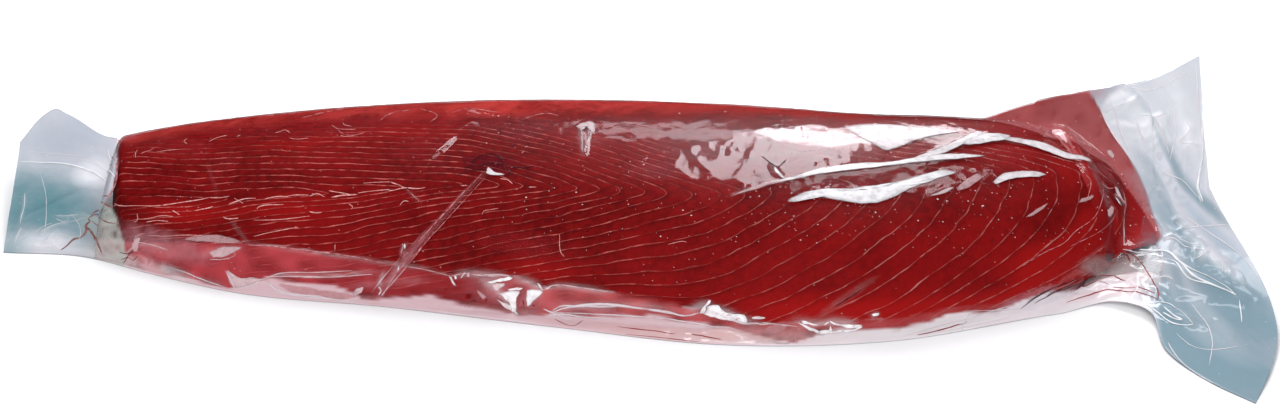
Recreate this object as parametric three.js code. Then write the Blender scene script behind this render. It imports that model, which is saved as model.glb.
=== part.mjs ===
// A raw tuna loin sealed in a clear vacuum bag, lying on its flat underside.
// Millimetres, +X along the loin from its tail end to its thick end, +Y to the back, +Z up.
// The bag is shut, so film and flesh are one solid: a top sheet drawn tight over the loin,
// a bottom sheet under it, and two flat film ends that stand off the surface.
import * as THREE from "three";

// ---- driving dimensions -------------------------------------------------------------------

// The loin, station by station: [x, front edge y, back edge y, height of the crest].
const LOIN = [
  [-340, 28, 124, 43],
  [-300, 7, 133, 50],
  [-250, -14, 138, 57],
  [-150, -35, 133, 70],
  [-50, -52, 124, 78],
  [50, -69, 112, 81],
  [150, -75, 102, 78],
  [200, -57, 106, 73],
  [250, -33, 110, 64],
  [290, 4, 102, 51],
  [320, 40, 84, 34],
];
const TAIL_X = LOIN[0][0];
const NOSE_X = LOIN[LOIN.length - 1][0];
const TAIL_ROUND = 10; // the tail end is cut off blunt
const NOSE_ROUND = 26; // the thick end is a rounded nose
const CREST = 0.72; // how far back across the loin its crest lies

// The two long edges of the bag in plan, by the distance along the bag: [along, x, y].
const FRONT_EDGE = [
  [-400, -397, 31],
  [-345, -345, 25],
  [-300, -300, 3],
  [-250, -250, -19],
  [-150, -150, -39],
  [-50, -50, -63],
  [50, 50, -84],
  [150, 150, -79],
  [250, 250, -47],
  [285, 285, -38],
  [303, 304, -56],
  [318, 306, -90],
  [338, 326, -127],
  [354, 347, -150],
];
const BACK_EDGE = [
  [-400, -408, 146],
  [-390, -396, 163],
  [-384, -388, 167],
  [-376, -378, 160],
  [-345, -345, 132],
  [-300, -300, 141],
  [-150, -150, 141],
  [0, 0, 130],
  [150, 150, 116],
  [240, 240, 116],
  [285, 285, 93],
  [320, 322, 97],
  [354, 354, 110],
];
const RIM_BOW = 20; // how far the line where the loin ends bows out
const END_BOW = 27; // how far the cut edge of the right film end bows out
const END_BOW_SHARE = 0.72; // and over how much of its width, from the front

// Where the two sheets lie together, the film's height over the surface.
const FILM = 1.6; // both sheets together
const BACK_HEM = [ // height of the hem behind the loin: [along, z]
  [60, 9],
  [140, 20],
  [225, 52],
  [285, 82],
  [320, 89],
  [354, 100],
];
const RIGHT_FRONT_Y = -150; // where the right end's slope starts
const RIGHT_FROM = [250, 315]; // and the stretch over which it starts that far forward
const RIGHT_CURVE = 2.8; // how late across the bag the slope rises
const LEFT_FROM = [-318, -343];
const LEFT_FOLD = [[-405, 138], [-337, 97]]; // the crease across the left end, in plan
const LEFT_FOLD_Z = 18;
const LEFT_FRONT_Y = 32;
const LEFT_BACK_SLOPE = 0.43; // behind the crease the left end stands up
const FILM_BLEND = 7; // radius where the film leaves the flesh

// Folds and dents pressed into the film: [x, y, x, y, height, half width].
const FOLDS = [
  [-104, 68, -168, -30, 2.6, 5], // the long crease across the loin
  [-108, 76, -78, 82, -3.2, 9], // the dent that it starts from
  [-118, -50, -62, -58, 4.5, 7], // crumples along the front
  [-46, -66, 62, -78, 3.4, 6],
  [40, -74, 66, -80, 4.5, 7],
  [100, -78, 142, -84, 4, 6],
  [-300, 0, -150, -40, 3, 9],
  [262, 96, 276, 40, 3.5, 6], // the rim where the film leaves the thick end
  [276, 40, 290, 0, 3.5, 6],
  [302, -6, 356, -44, 5, 6], // the folded corner of the right end
  [306, -52, 330, -70, 3.5, 5],
  [336, 100, 352, 20, 3, 6],
  [-392, 60, -348, 92, 2.5, 6], // and of the left end
];

// ---- the mesh's fineness -------------------------------------------------------------------

const RULINGS = [ // [from, to, steps] along the bag
  [-400, -345, 7],
  [-345, -325, 4],
  [-325, 245, 50],
  [245, 354, 19],
];
const BOTTOM_STEPS = 12; // across the bottom sheet
const TOP_SHARE = 3; // top steps to each bottom step
const SAMPLES = 240; // along a ruling, before it is divided evenly

const FILM_RED = 0x8c1420;

// ---- curves ---------------------------------------------------------------------------------

const { clamp, lerp, smoothstep } = THREE.MathUtils;

// 0 at one place and 1 at another, eased, in either direction.
function ease(from, to, value) {
  return from < to ? smoothstep(value, from, to) : 1 - smoothstep(value, to, from);
}

// A smooth curve through one column of a list of stations, whose first column is the place.
function through(stations, column, place) {
  const last = stations.length - 1;
  const at = clamp(place, stations[0][0], stations[last][0]);
  let i = 0;
  while (i < last - 1 && at > stations[i + 1][0]) i += 1;
  const slope = (k) => (stations[k + 1][column] - stations[k][column]) / span(k);
  const span = (k) => stations[k + 1][0] - stations[k][0];
  const tangent = (k) => {
    if (k === 0) return slope(0);
    if (k === last) return slope(last - 1);
    return (slope(k - 1) * span(k) + slope(k) * span(k - 1)) / (span(k - 1) + span(k));
  };
  const t = (at - stations[i][0]) / span(i);
  const rest = 1 - t;
  return (
    (1 + 2 * t) * rest * rest * stations[i][column] +
    t * rest * rest * span(i) * tangent(i) +
    t * t * (3 - 2 * t) * stations[i + 1][column] -
    t * t * rest * span(i) * tangent(i + 1)
  );
}

// The higher of two heights, with the corner between them rounded.
function higher(a, b, radius) {
  const share = clamp(0.5 + (0.5 * (a - b)) / radius, 0, 1);
  return lerp(b, a, share) + radius * share * (1 - share);
}

// ---- the loin ---------------------------------------------------------------------------------

function loinAt(x) {
  return {
    front: through(LOIN, 1, x),
    back: through(LOIN, 2, x),
    crest: through(LOIN, 3, x),
  };
}

// How high the flesh stands at a place in plan, 0 outside it.
function fleshHeight(x, y) {
  if (x <= TAIL_X || x >= NOSE_X) return 0;
  const { front, back, crest } = loinAt(x);
  if (y <= front || y >= back) return 0;
  const crestY = lerp(front, back, CREST);
  const tail = Math.max((TAIL_X + TAIL_ROUND - x) / TAIL_ROUND, 0);
  const nose = Math.max((x - NOSE_X + NOSE_ROUND) / NOSE_ROUND, 0);
  const ends = Math.sqrt((1 - tail ** 2.5) * (1 - nose ** 2.2));
  if (y < crestY) return ends * crest * (1 - ((crestY - y) / (crestY - front)) ** 2.15) ** 0.53;
  return ends * crest * (1 - ((y - crestY) / (back - crestY)) ** 2.8) ** 0.45;
}

// 1 well inside the loin's footprint, 0 outside it.
function underLoin(x, y) {
  const { front, back } = loinAt(x);
  const across = ease(0, 10, y - front) * ease(0, 24, back - y);
  return across * ease(0, 14, x - TAIL_X) * ease(0, 24, NOSE_X - x);
}

// ---- the film -----------------------------------------------------------------------------------

// The film's height where it lies flat on itself, away from the flesh.
function sheetHeight(along, x, y) {
  const front = through(FRONT_EDGE, 2, along);
  const start = lerp(front, RIGHT_FRONT_Y, ease(RIGHT_FROM[0], RIGHT_FROM[1], along));
  const across = Math.max((y - start) / (through(BACK_EDGE, 2, along) - start), 0);
  const slope = through(BACK_HEM, 1, along) * across ** RIGHT_CURVE;
  const [[x0, y0], [x1, y1]] = LEFT_FOLD;
  const foldY = lerp(y0, y1, (x - x0) / (x1 - x0));
  const lower = (LEFT_FOLD_Z * (y - LEFT_FRONT_Y)) / (foldY - LEFT_FRONT_Y);
  const upper = LEFT_FOLD_Z + LEFT_BACK_SLOPE * (y - foldY);
  const left = Math.max(higher(lower, upper, 2), 0) * ease(LEFT_FROM[0], LEFT_FROM[1], along);
  return FILM + Math.max(slope, left);
}

// How far the folds stand up from the smooth film.
function foldHeight(x, y) {
  let height = 0;
  for (const [x0, y0, x1, y1, rise, half] of FOLDS) {
    const lengthSquared = (x1 - x0) ** 2 + (y1 - y0) ** 2;
    const t = clamp(((x - x0) * (x1 - x0) + (y - y0) * (y1 - y0)) / lengthSquared, 0, 1);
    const away = Math.hypot(x - lerp(x0, x1, t), y - lerp(y0, y1, t)) / half;
    height += rise * Math.exp(-away * away) * (0.35 + 0.65 * Math.sin(Math.PI * t));
  }
  return height;
}

// A place in plan, from the distance along the bag and the share across it, 0 at the front.
function placeAt(along, share) {
  const rim = RIM_BOW * Math.sin(Math.PI * share) * ease(235, 290, along);
  const edge = END_BOW * Math.sin(Math.PI * Math.min(share / END_BOW_SHARE, 1));
  const bow = lerp(rim, edge, ease(295, 354, along));
  return {
    x: lerp(through(FRONT_EDGE, 1, along), through(BACK_EDGE, 1, along), share) + bow,
    y: lerp(through(FRONT_EDGE, 2, along), through(BACK_EDGE, 2, along), share),
  };
}

// One point of the film: its place, its top and its underside.
function filmAt(along, share) {
  const { x, y } = placeAt(along, share);
  const sheet = sheetHeight(along, x, y);
  const hem = Math.min(share, 1 - share) * 12;
  const smooth = higher(fleshHeight(x, y) + FILM / 2, sheet, FILM_BLEND * Math.min(hem, 1));
  const top = Math.max(smooth + foldHeight(x, y) * Math.min(hem, 1), sheet);
  return { x, y, top, underside: lerp(sheet - FILM, 0, underLoin(x, y)) };
}

// A ruling across the bag on one side, divided so that its points lie evenly along the film.
function ruling(along, side, steps) {
  const point = (share) => {
    const film = filmAt(along, share);
    return new THREE.Vector3(film.x, film.y, film[side]);
  };
  const run = [0];
  for (let i = 1; i <= SAMPLES; i += 1)
    run.push(run[i - 1] + point(i / SAMPLES).distanceTo(point((i - 1) / SAMPLES)));
  return Array.from({ length: steps + 1 }, (_, j) => {
    const target = (run[SAMPLES] * j) / steps;
    let i = 0;
    while (i < SAMPLES - 1 && run[i + 1] < target) i += 1;
    return point((i + (target - run[i]) / (run[i + 1] - run[i])) / SAMPLES);
  });
}

// ---- the closed solid -----------------------------------------------------------------------

function bagGeometry() {
  const places = [RULINGS[0][0]];
  for (const [from, to, steps] of RULINGS)
    for (let i = 1; i <= steps; i += 1) places.push(lerp(from, to, i / steps));
  const topSteps = BOTTOM_STEPS * TOP_SHARE;
  const vertices = [];
  const sheet = (side, steps) =>
    places.map((along) =>
      ruling(along, side, steps).map((p) => vertices.push(p.x, p.y, p.z) / 3 - 1),
    );
  const top = sheet("top", topSteps);
  const bottom = sheet("underside", BOTTOM_STEPS);
  const faces = [];
  const quad = (a, b, c, d) => faces.push(a, b, c, a, c, d);
  for (let i = 0; i < places.length - 1; i += 1) {
    for (let j = 0; j < topSteps; j += 1)
      quad(top[i][j], top[i + 1][j], top[i + 1][j + 1], top[i][j + 1]);
    for (let j = 0; j < BOTTOM_STEPS; j += 1)
      quad(bottom[i][j], bottom[i][j + 1], bottom[i + 1][j + 1], bottom[i + 1][j]);
    quad(bottom[i][0], bottom[i + 1][0], top[i + 1][0], top[i][0]);
    quad(top[i][topSteps], top[i + 1][topSteps], bottom[i + 1][BOTTOM_STEPS], bottom[i][BOTTOM_STEPS]);
  }
  // The two cut ends, where each bottom step meets several top steps.
  for (const [i, flip] of [[0, false], [places.length - 1, true]]) {
    const triangle = (a, b, c) => faces.push(...(flip ? [a, b, c] : [a, c, b]));
    for (let j = 0; j < BOTTOM_STEPS; j += 1) {
      const first = j * TOP_SHARE;
      for (let k = first; k < first + TOP_SHARE; k += 1)
        triangle(bottom[i][j], top[i][k + 1], top[i][k]);
      triangle(bottom[i][j], bottom[i][j + 1], top[i][first + TOP_SHARE]);
    }
  }
  const geometry = new THREE.BufferGeometry();
  geometry.setAttribute("position", new THREE.Float32BufferAttribute(vertices, 3));
  geometry.setIndex(faces);
  return geometry;
}

// The origin is on the surface under the middle of the bag.
const geometry = bagGeometry();
geometry.computeBoundingBox();
const middle = geometry.boundingBox.getCenter(new THREE.Vector3());
geometry.translate(-middle.x, -middle.y, -geometry.boundingBox.min.z);
geometry.computeVertexNormals();

const bag = new THREE.Mesh(
  geometry,
  new THREE.MeshStandardMaterial({ color: FILM_RED, roughness: 0.2, metalness: 0 }),
);
bag.name = "bagged_tuna_loin";

const part = new THREE.Group();
part.add(bag);
export default part;
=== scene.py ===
"""A raw tuna loin sealed in a clear vacuum bag, laid out as a Blender add-on and run as a script.

Millimetres in the tables, metres in the scene. X runs along the loin from its tail end to its
thick end, Y to the back, Z up. The tables keep the bag's own origin; OFFSET takes them into the
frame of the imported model.
"""

import functools
import math

import bmesh
import bpy
import numpy as np
from bpy.props import FloatProperty, FloatVectorProperty, IntProperty, PointerProperty
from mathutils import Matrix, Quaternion, Vector


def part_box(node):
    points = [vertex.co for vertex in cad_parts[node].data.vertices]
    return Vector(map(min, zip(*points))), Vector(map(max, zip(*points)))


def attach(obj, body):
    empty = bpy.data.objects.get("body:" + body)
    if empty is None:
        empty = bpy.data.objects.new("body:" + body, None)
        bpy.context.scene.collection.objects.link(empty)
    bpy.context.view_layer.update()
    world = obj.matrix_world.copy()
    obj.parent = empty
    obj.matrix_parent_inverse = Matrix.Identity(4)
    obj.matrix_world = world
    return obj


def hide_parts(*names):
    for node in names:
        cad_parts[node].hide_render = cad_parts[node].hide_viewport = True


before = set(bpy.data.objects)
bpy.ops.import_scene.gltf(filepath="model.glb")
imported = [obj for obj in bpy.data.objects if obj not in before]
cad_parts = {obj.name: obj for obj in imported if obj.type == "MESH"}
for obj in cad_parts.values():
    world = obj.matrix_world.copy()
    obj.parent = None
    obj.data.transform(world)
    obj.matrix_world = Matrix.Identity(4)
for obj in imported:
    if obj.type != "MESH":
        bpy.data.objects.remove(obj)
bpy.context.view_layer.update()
BAG_NODE = "bagged_tuna_loin"
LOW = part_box(BAG_NODE)[0]

bl_info = {
    "name": "Vacuum-packed raw tuna loin",
    "version": (1, 0, 0),
    "blender": (4, 5, 0),
    "location": "View3D > Sidebar > Tuna Loin",
    "description": "Builds a raw tuna loin sealed in a clear vacuum bag",
    "category": "Add Mesh",
}

MM = 0.001
BAG_LOW_X, BAG_LOW_Y = -408.0, -150.0  # the bag's lowest x and y in its own origin, mm
OFFSET = np.array((LOW.x / MM - BAG_LOW_X, LOW.y / MM - BAG_LOW_Y, 0.0))


# ---- the shape, with the same stations as the solid ----
LOIN = (  # [x, front edge y, back edge y, height of the crest], mm
    (-340, 28, 124, 43),
    (-300, 7, 133, 50),
    (-250, -14, 138, 57),
    (-150, -35, 133, 70),
    (-50, -52, 124, 78),
    (50, -69, 112, 81),
    (150, -75, 102, 78),
    (200, -57, 106, 73),
    (250, -33, 110, 64),
    (290, 4, 102, 51),
    (320, 40, 84, 34),
)
TAIL_X, NOSE_X = LOIN[0][0], LOIN[-1][0]
TAIL_ROUND, NOSE_ROUND = 10.0, 26.0  # length of each rounded end, mm
TAIL_POWER, NOSE_POWER = 2.5, 2.2  # how square each rounded end is
FRONT_POWERS, BACK_POWERS = (2.15, 0.53), (2.8, 0.45)  # how each side rises to the crest
CREST = 0.72  # where the crest lies, as a share of the way from front to back
UNDER_FRONT, UNDER_BACK, UNDER_TAIL, UNDER_NOSE = 10, 24, 14, 24  # where the underside rounds up, mm
FRONT_EDGE = (  # the bag's front edge: [along, x, y], mm
    (-400, -397, 31), (-345, -345, 25), (-300, -300, 3), (-250, -250, -19),
    (-150, -150, -39), (-50, -50, -63), (50, 50, -84), (150, 150, -79),
    (250, 250, -47), (285, 285, -38), (303, 304, -56), (318, 306, -90),
    (338, 326, -127), (354, 347, -150),
)
BACK_EDGE = (  # the bag's back edge: [along, x, y], mm
    (-400, -408, 146), (-390, -396, 163), (-384, -388, 167), (-376, -378, 160),
    (-345, -345, 132), (-300, -300, 141), (-150, -150, 141), (0, 0, 130),
    (150, 150, 116), (240, 240, 116), (285, 285, 93), (320, 322, 97),
    (354, 354, 110),
)
# how high the back edge stands towards the thick end: [along, mm]
BACK_HEM = ((60, 9), (140, 20), (225, 52), (285, 82), (320, 89), (354, 100))
RIM_BOW, END_BOW, END_BOW_SHARE = 20.0, 27.0, 0.72  # how far the curved end bows out, mm
RIM_BOW_FROM, END_BOW_FROM = (235, 290), (295, 354)
FILM = 1.6  # thickness of the flat ends in the solid, mm
RIGHT_FRONT_Y, RIGHT_FROM, RIGHT_CURVE = -150.0, (250, 315), 2.8
LEFT_FROM = (-318, -343)
LEFT_FOLD, LEFT_FOLD_Z, LEFT_FOLD_ROUND = ((-405, 138), (-337, 97)), 18.0, 2
LEFT_FRONT_Y, LEFT_BACK_SLOPE = 32.0, 0.43
FILM_BLEND = 7.0  # how softly the film leaves the flesh, mm
HEM_RISE = 12  # the flat hem is one part in so many of the width
FOLD_ENDS = 0.35  # height of a fold at its ends, as a share of its middle
FOLDS = (  # big folds of the bag: [x, y, x, y, height, half width], mm
    (-104, 68, -168, -30, 2.6, 5), (-108, 76, -78, 82, -3.2, 9),
    (-118, -50, -62, -58, 4.5, 7), (-46, -66, 62, -78, 3.4, 6),
    (40, -74, 66, -80, 4.5, 7), (100, -78, 142, -84, 4, 6),
    (-300, 0, -150, -40, 3, 9), (262, 96, 276, 40, 3.5, 6),
    (276, 40, 290, 0, 3.5, 6), (302, -6, 356, -44, 5, 6),
    (306, -52, 330, -70, 3.5, 5), (336, 100, 352, 20, 3, 6),
    (-392, 60, -348, 92, 2.5, 6),
)


def ease(start, stop, value):
    """0 at start and 1 at stop, eased, in either direction."""
    t = np.clip((value - start) / (stop - start), 0, 1)
    return t * t * (3 - 2 * t)


def mix(a, b, share):
    """The value a share of the way from a to b."""
    return a + (b - a) * share


def through(stations, column, place):
    """A smooth curve through one column of a list of stations."""
    table = np.array(stations, float)
    xs, ys = table[:, 0], table[:, column]
    at = np.clip(place, xs[0], xs[-1])
    span = np.diff(xs)
    slope = np.diff(ys) / span
    inner = (slope[:-1] * span[1:] + slope[1:] * span[:-1]) / (span[1:] + span[:-1])
    tangent = np.concatenate(([slope[0]], inner, [slope[-1]]))
    i = np.clip(np.searchsorted(xs, at, side="left") - 1, 0, len(span) - 1)
    t = (at - xs[i]) / span[i]
    rest = 1 - t
    return (
        (1 + 2 * t) * rest * rest * ys[i]
        + t * rest * rest * span[i] * tangent[i]
        + t * t * (3 - 2 * t) * ys[i + 1]
        - t * t * rest * span[i] * tangent[i + 1]
    )


def higher(a, b, radius):
    """The higher of two heights, with the corner between them rounded."""
    share = np.clip(0.5 + 0.5 * (a - b) / radius, 0, 1)
    return mix(b, a, share) + radius * share * (1 - share)


def loin_at(x):
    """The loin's front edge, back edge and crest height at places along it."""
    return through(LOIN, 1, x), through(LOIN, 2, x), through(LOIN, 3, x)


def flesh_height(x, y):
    """How high the flesh stands at a place in plan, 0 outside it."""
    front, back, crest = loin_at(x)
    crest_y = mix(front, back, CREST)
    tail = np.maximum((TAIL_X + TAIL_ROUND - x) / TAIL_ROUND, 0)
    nose = np.maximum((x - NOSE_X + NOSE_ROUND) / NOSE_ROUND, 0)
    ends = np.sqrt(np.clip((1 - tail**TAIL_POWER) * (1 - np.minimum(nose, 1) ** NOSE_POWER), 0, 1))
    ahead = np.clip((crest_y - y) / (crest_y - front), 0, 1)
    behind = np.clip((y - crest_y) / (back - crest_y), 0, 1)
    up_front = (1 - ahead ** FRONT_POWERS[0]) ** FRONT_POWERS[1]
    up_back = (1 - behind ** BACK_POWERS[0]) ** BACK_POWERS[1]
    rise = np.where(y < crest_y, up_front, up_back)
    inside = (x > TAIL_X) & (x < NOSE_X) & (y > front) & (y < back)
    return np.where(inside, ends * crest * rise, 0.0)


def under_loin(x, y):
    """1 where the loin's weight presses the bag flat, 0 outside the loin."""
    front, back, _ = loin_at(x)
    across = ease(0, UNDER_FRONT, y - front) * ease(0, UNDER_BACK, back - y)
    return across * ease(0, UNDER_TAIL, x - TAIL_X) * ease(0, UNDER_NOSE, NOSE_X - x)


def sheet_height(along, x, y):
    """The film's height where it lies flat on itself, away from the flesh."""
    front = through(FRONT_EDGE, 2, along)
    start = mix(front, RIGHT_FRONT_Y, ease(*RIGHT_FROM, along))
    across = np.maximum((y - start) / (through(BACK_EDGE, 2, along) - start), 0)
    slope = through(BACK_HEM, 1, along) * across**RIGHT_CURVE
    (x0, y0), (x1, y1) = LEFT_FOLD
    fold_y = mix(y0, y1, (x - x0) / (x1 - x0))
    lower = LEFT_FOLD_Z * (y - LEFT_FRONT_Y) / (fold_y - LEFT_FRONT_Y)
    upper = LEFT_FOLD_Z + LEFT_BACK_SLOPE * (y - fold_y)
    left = np.maximum(higher(lower, upper, LEFT_FOLD_ROUND), 0) * ease(*LEFT_FROM, along)
    return FILM + np.maximum(slope, left)


def fold_height(x, y):
    """How far the big folds lift the film at a place in plan."""
    height = np.zeros_like(x)
    for x0, y0, x1, y1, rise, half in FOLDS:
        length2 = (x1 - x0) ** 2 + (y1 - y0) ** 2
        t = np.clip(((x - x0) * (x1 - x0) + (y - y0) * (y1 - y0)) / length2, 0, 1)
        away = np.hypot(x - mix(x0, x1, t), y - mix(y0, y1, t)) / half
        height += rise * np.exp(-away * away) * (FOLD_ENDS + (1 - FOLD_ENDS) * np.sin(np.pi * t))
    return height


def place_at(along, share):
    """The place in plan at a distance along the bag and a share of the way across it."""
    rim = RIM_BOW * np.sin(np.pi * share) * ease(*RIM_BOW_FROM, along)
    edge = END_BOW * np.sin(np.pi * np.minimum(share / END_BOW_SHARE, 1))
    bow = mix(rim, edge, ease(*END_BOW_FROM, along))
    x = mix(through(FRONT_EDGE, 1, along), through(BACK_EDGE, 1, along), share) + bow
    y = mix(through(FRONT_EDGE, 2, along), through(BACK_EDGE, 2, along), share)
    return x, y


def film_at(along, share):
    """One point of the film: its place, its top and its underside."""
    x, y = place_at(along, share)
    sheet = sheet_height(along, x, y)
    hem = np.minimum(np.minimum(share, 1 - share) * HEM_RISE, 1)
    smooth = higher(flesh_height(x, y) + FILM / 2, sheet, np.maximum(FILM_BLEND * hem, 1e-6))
    top = np.maximum(smooth + fold_height(x, y) * hem, sheet)
    return x, y, top, mix(sheet - FILM, 0, under_loin(x, y))


def run_of(lines):
    """How far along its own line each point of some lines lies."""
    gone = np.cumsum(np.linalg.norm(np.diff(lines, axis=1), axis=2), 1)
    return np.concatenate((np.zeros((len(lines), 1)), gone), 1)


def straight(table, place):
    """Straight lines through a table of [place, value]."""
    return np.interp(place, *np.array(table, float).T)


def rulings(alongs, side, steps, samples=900):
    """Points of one side of the bag, evenly spaced along each ruling, and the arc lengths."""
    def points(along, share):
        x, y, top, under = film_at(along, share)
        return np.stack((x, y, top if side == "top" else under), -1)

    shares = np.linspace(0, 1, samples + 1)
    run = run_of(points(*np.meshgrid(alongs, shares, indexing="ij")))
    target = np.linspace(0, 1, steps + 1)
    share = np.array([np.interp(target * line[-1], line, shares) for line in run])
    along = np.repeat(np.array(alongs, float)[:, None], steps + 1, 1)
    return points(along, share), run[:, -1:] * target


# ---- smooth noise ----


def cloud(points, size, seed):
    """Smooth noise between about -1 and 1 at points in mm, with bumps about size across."""
    rng = np.random.default_rng(seed)
    order = rng.permutation(256)
    slopes = rng.normal(size=(256, 3))
    slopes /= np.linalg.norm(slopes, axis=1, keepdims=True)
    place = np.asarray(points, float) / size + 41.3
    cell = np.floor(place).astype(int)
    inside = place - cell
    fade = inside**3 * (inside * (inside * 6 - 15) + 10)
    total = np.zeros(place.shape[:-1])
    for corner in ((i, j, k) for i in (0, 1) for j in (0, 1) for k in (0, 1)):
        at = (cell + corner) & 255
        pick = order[(order[(order[at[..., 0]] + at[..., 1]) & 255] + at[..., 2]) & 255]
        share = np.where(corner, fade, 1 - fade).prod(-1)
        total += share * (slopes[pick] * (inside - corner)).sum(-1)
    return total * 1.7


def creased(points, size, seed):
    """Noise with sharp ridges, 0 to 1, like crumpled film."""
    sway = np.stack([cloud(points, size * 1.7, seed + k) for k in (1, 2, 3)], -1)
    bent = points + size * 0.5 * sway
    return (1 - np.abs(cloud(bent, size, seed))) ** 3


# ---- places on the bag ----


def spread(stretches):
    """Places along the bag, from a list of [from, to, steps]."""
    places = [np.linspace(start, stop, steps, endpoint=False) for start, stop, steps in stretches]
    return np.concatenate(places + [[stretches[-1][1]]])


def outward(grid):
    """Unit normals of a grid of points, on the side where the first axis turns to the second."""
    normal = np.cross(np.gradient(grid, axis=0), np.gradient(grid, axis=1))
    return normal / np.maximum(np.linalg.norm(normal, axis=2, keepdims=True), 1e-9)


OVER_FLESH = (0.5, 8)  # heights of flesh over which the two sheets come apart, mm
THIN = 0.5  # the two sheets together, where they lie flat on each other, mm


class Sheet:
    """The bag's smooth top sheet, as a grid that places things by [along, across] in mm."""

    def __init__(self, alongs, columns):
        self.alongs = alongs
        self.points, self.across = rulings(alongs, "top", columns)
        self.over = ease(*OVER_FLESH, flesh_height(self.points[..., 0], self.points[..., 1]))
        self.points[..., 2] -= (FILM - THIN) * (1 - self.over)
        self.normals = outward(self.points)
        self.surface = self.points

    def at(self, along, across, grid=None):
        """Points of a grid, the smooth sheet if none is given, at places on the bag."""
        grid = self.points if grid is None else grid
        row = np.interp(along, self.alongs, np.arange(len(self.alongs)))
        low = np.clip(np.floor(row).astype(int), 0, len(self.alongs) - 2)
        part = (row - low)[:, None]
        columns = grid.shape[1] - 1
        width = mix(self.across[low, -1], self.across[low + 1, -1], part[:, 0])
        column = np.clip(across / width, 0, 1) * columns
        left = np.clip(np.floor(column).astype(int), 0, columns - 1)
        share = (column - left)[:, None]
        front = mix(grid[low, left], grid[low + 1, left], part)
        back = mix(grid[low, left + 1], grid[low + 1, left + 1], part)
        return mix(front, back, share)

    def line(self, stroke, step=3.0, grid=None):
        """Closely set points along a stroke of [along, across] corners, and their normals."""
        corners = np.array(stroke, float)
        places = [corners[:1]]
        for start, stop in zip(corners[:-1], corners[1:]):
            steps = max(int(np.hypot(*(stop - start)) / step), 1)
            places.append(start + (stop - start) * np.arange(1, steps + 1)[:, None] / steps)
        places = np.concatenate(places)
        normals = self.at(places[:, 0], places[:, 1], self.normals)
        normals /= np.linalg.norm(normals, axis=1, keepdims=True)
        return self.at(places[:, 0], places[:, 1], grid), normals


def nearest(points, line, reach):
    """The points near a line: their numbers, distances from it, and how far along it, 0 to 1."""
    low, high = line.min(0) - reach, line.max(0) + reach
    index = np.nonzero(((points > low) & (points < high)).all(1))[0]
    near = points[index]
    best = np.full(len(index), np.inf)
    along = np.zeros(len(index))
    spans = np.linalg.norm(np.diff(line, axis=0), axis=1)
    run = np.concatenate(([0], np.cumsum(spans)))
    for k, span in enumerate(spans):
        if span < 1e-6:
            continue
        side = line[k + 1] - line[k]
        t = np.clip(((near - line[k]) @ side) / span**2, 0, 1)
        away = np.linalg.norm(near - line[k] - t[:, None] * side, axis=1)
        closer = away < best
        best = np.where(closer, away, best)
        along = np.where(closer, (run[k] + t * span) / run[-1], along)
    keep = best < reach
    return index[keep], best[keep], along[keep]


# ---- mesh helpers ----


def clear_selection():
    """Leaves edit mode and selects nothing."""
    if bpy.context.object and bpy.context.object.mode != "OBJECT":
        bpy.ops.object.mode_set(mode="OBJECT")
    bpy.ops.object.select_all(action="DESELECT")


def corners_of(piece):
    """A piece's vertices, as rows of x, y and z."""
    places = np.empty(len(piece.data.vertices) * 3)
    piece.data.vertices.foreach_get("co", places)
    return places.reshape(-1, 3)


def move_corners(piece, places):
    """Puts a piece's vertices at places given in mm in the bag's own origin."""
    piece.data.vertices.foreach_set("co", ((places + OFFSET) * MM).ravel())
    piece.data.update()


def paint(piece, name, values):
    """Keeps one number, or one colour with alpha, at each vertex."""
    values = np.asarray(values, float)
    kind = ("FLOAT", "value") if values.ndim == 1 else ("FLOAT_COLOR", "color")
    layer = piece.data.attributes.new(name, kind[0], "POINT")
    layer.data.foreach_set(kind[1], values.ravel())


def edit(piece):
    """Opens one piece in edit mode."""
    clear_selection()
    bpy.context.view_layer.objects.active = piece
    piece.select_set(True)
    bpy.ops.object.mode_set(mode="EDIT")


def close_up(piece):
    """Merges doubles, turns every face outwards and shades the piece smooth."""
    edit(piece)
    bpy.ops.mesh.select_all(action="SELECT")
    bpy.ops.mesh.remove_doubles(threshold=1e-6)
    bpy.ops.mesh.normals_make_consistent(inside=False)
    bpy.ops.object.mode_set(mode="OBJECT")
    bpy.ops.object.shade_smooth()


def join_up(pieces):
    """Joins pieces into the first of them."""
    clear_selection()
    for piece in pieces:
        piece.select_set(True)
    bpy.context.view_layer.objects.active = pieces[0]
    bpy.ops.object.join()
    return pieces[0]


def finish_piece(piece, name, look):
    """Names a piece, gives it its finish, hangs it on the root and hides the bag's solid."""
    piece.name = name
    piece.data.name = name
    piece.data.materials.clear()
    piece.data.materials.append(look)
    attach(piece, "root")
    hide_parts(BAG_NODE)


def add_grid(rows, columns):
    """A flat grid of rows x columns faces, with each vertex's row and column."""
    clear_selection()
    bpy.ops.mesh.primitive_grid_add(x_subdivisions=rows, y_subdivisions=columns, size=2)
    piece = bpy.context.object
    flat = corners_of(piece)
    row = np.round((flat[:, 0] + 1) / 2 * rows).astype(int)
    column = np.round((flat[:, 1] + 1) / 2 * columns).astype(int)
    return piece, row, column


def bridge(piece, chosen):
    """Joins the open edges whose vertices are both chosen."""
    edit(piece)
    bpy.ops.mesh.select_mode(type="EDGE")
    bpy.ops.mesh.select_all(action="DESELECT")
    body = bmesh.from_edit_mesh(piece.data)
    body.verts.ensure_lookup_table()
    for edge in body.edges:
        first, second = (v.index for v in edge.verts)
        edge.select_set(edge.is_boundary and chosen[first] and chosen[second])
    bmesh.update_edit_mesh(piece.data)
    bpy.ops.mesh.bridge_edge_loops()
    bpy.ops.object.mode_set(mode="OBJECT")


# ---- the flesh ----

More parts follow.
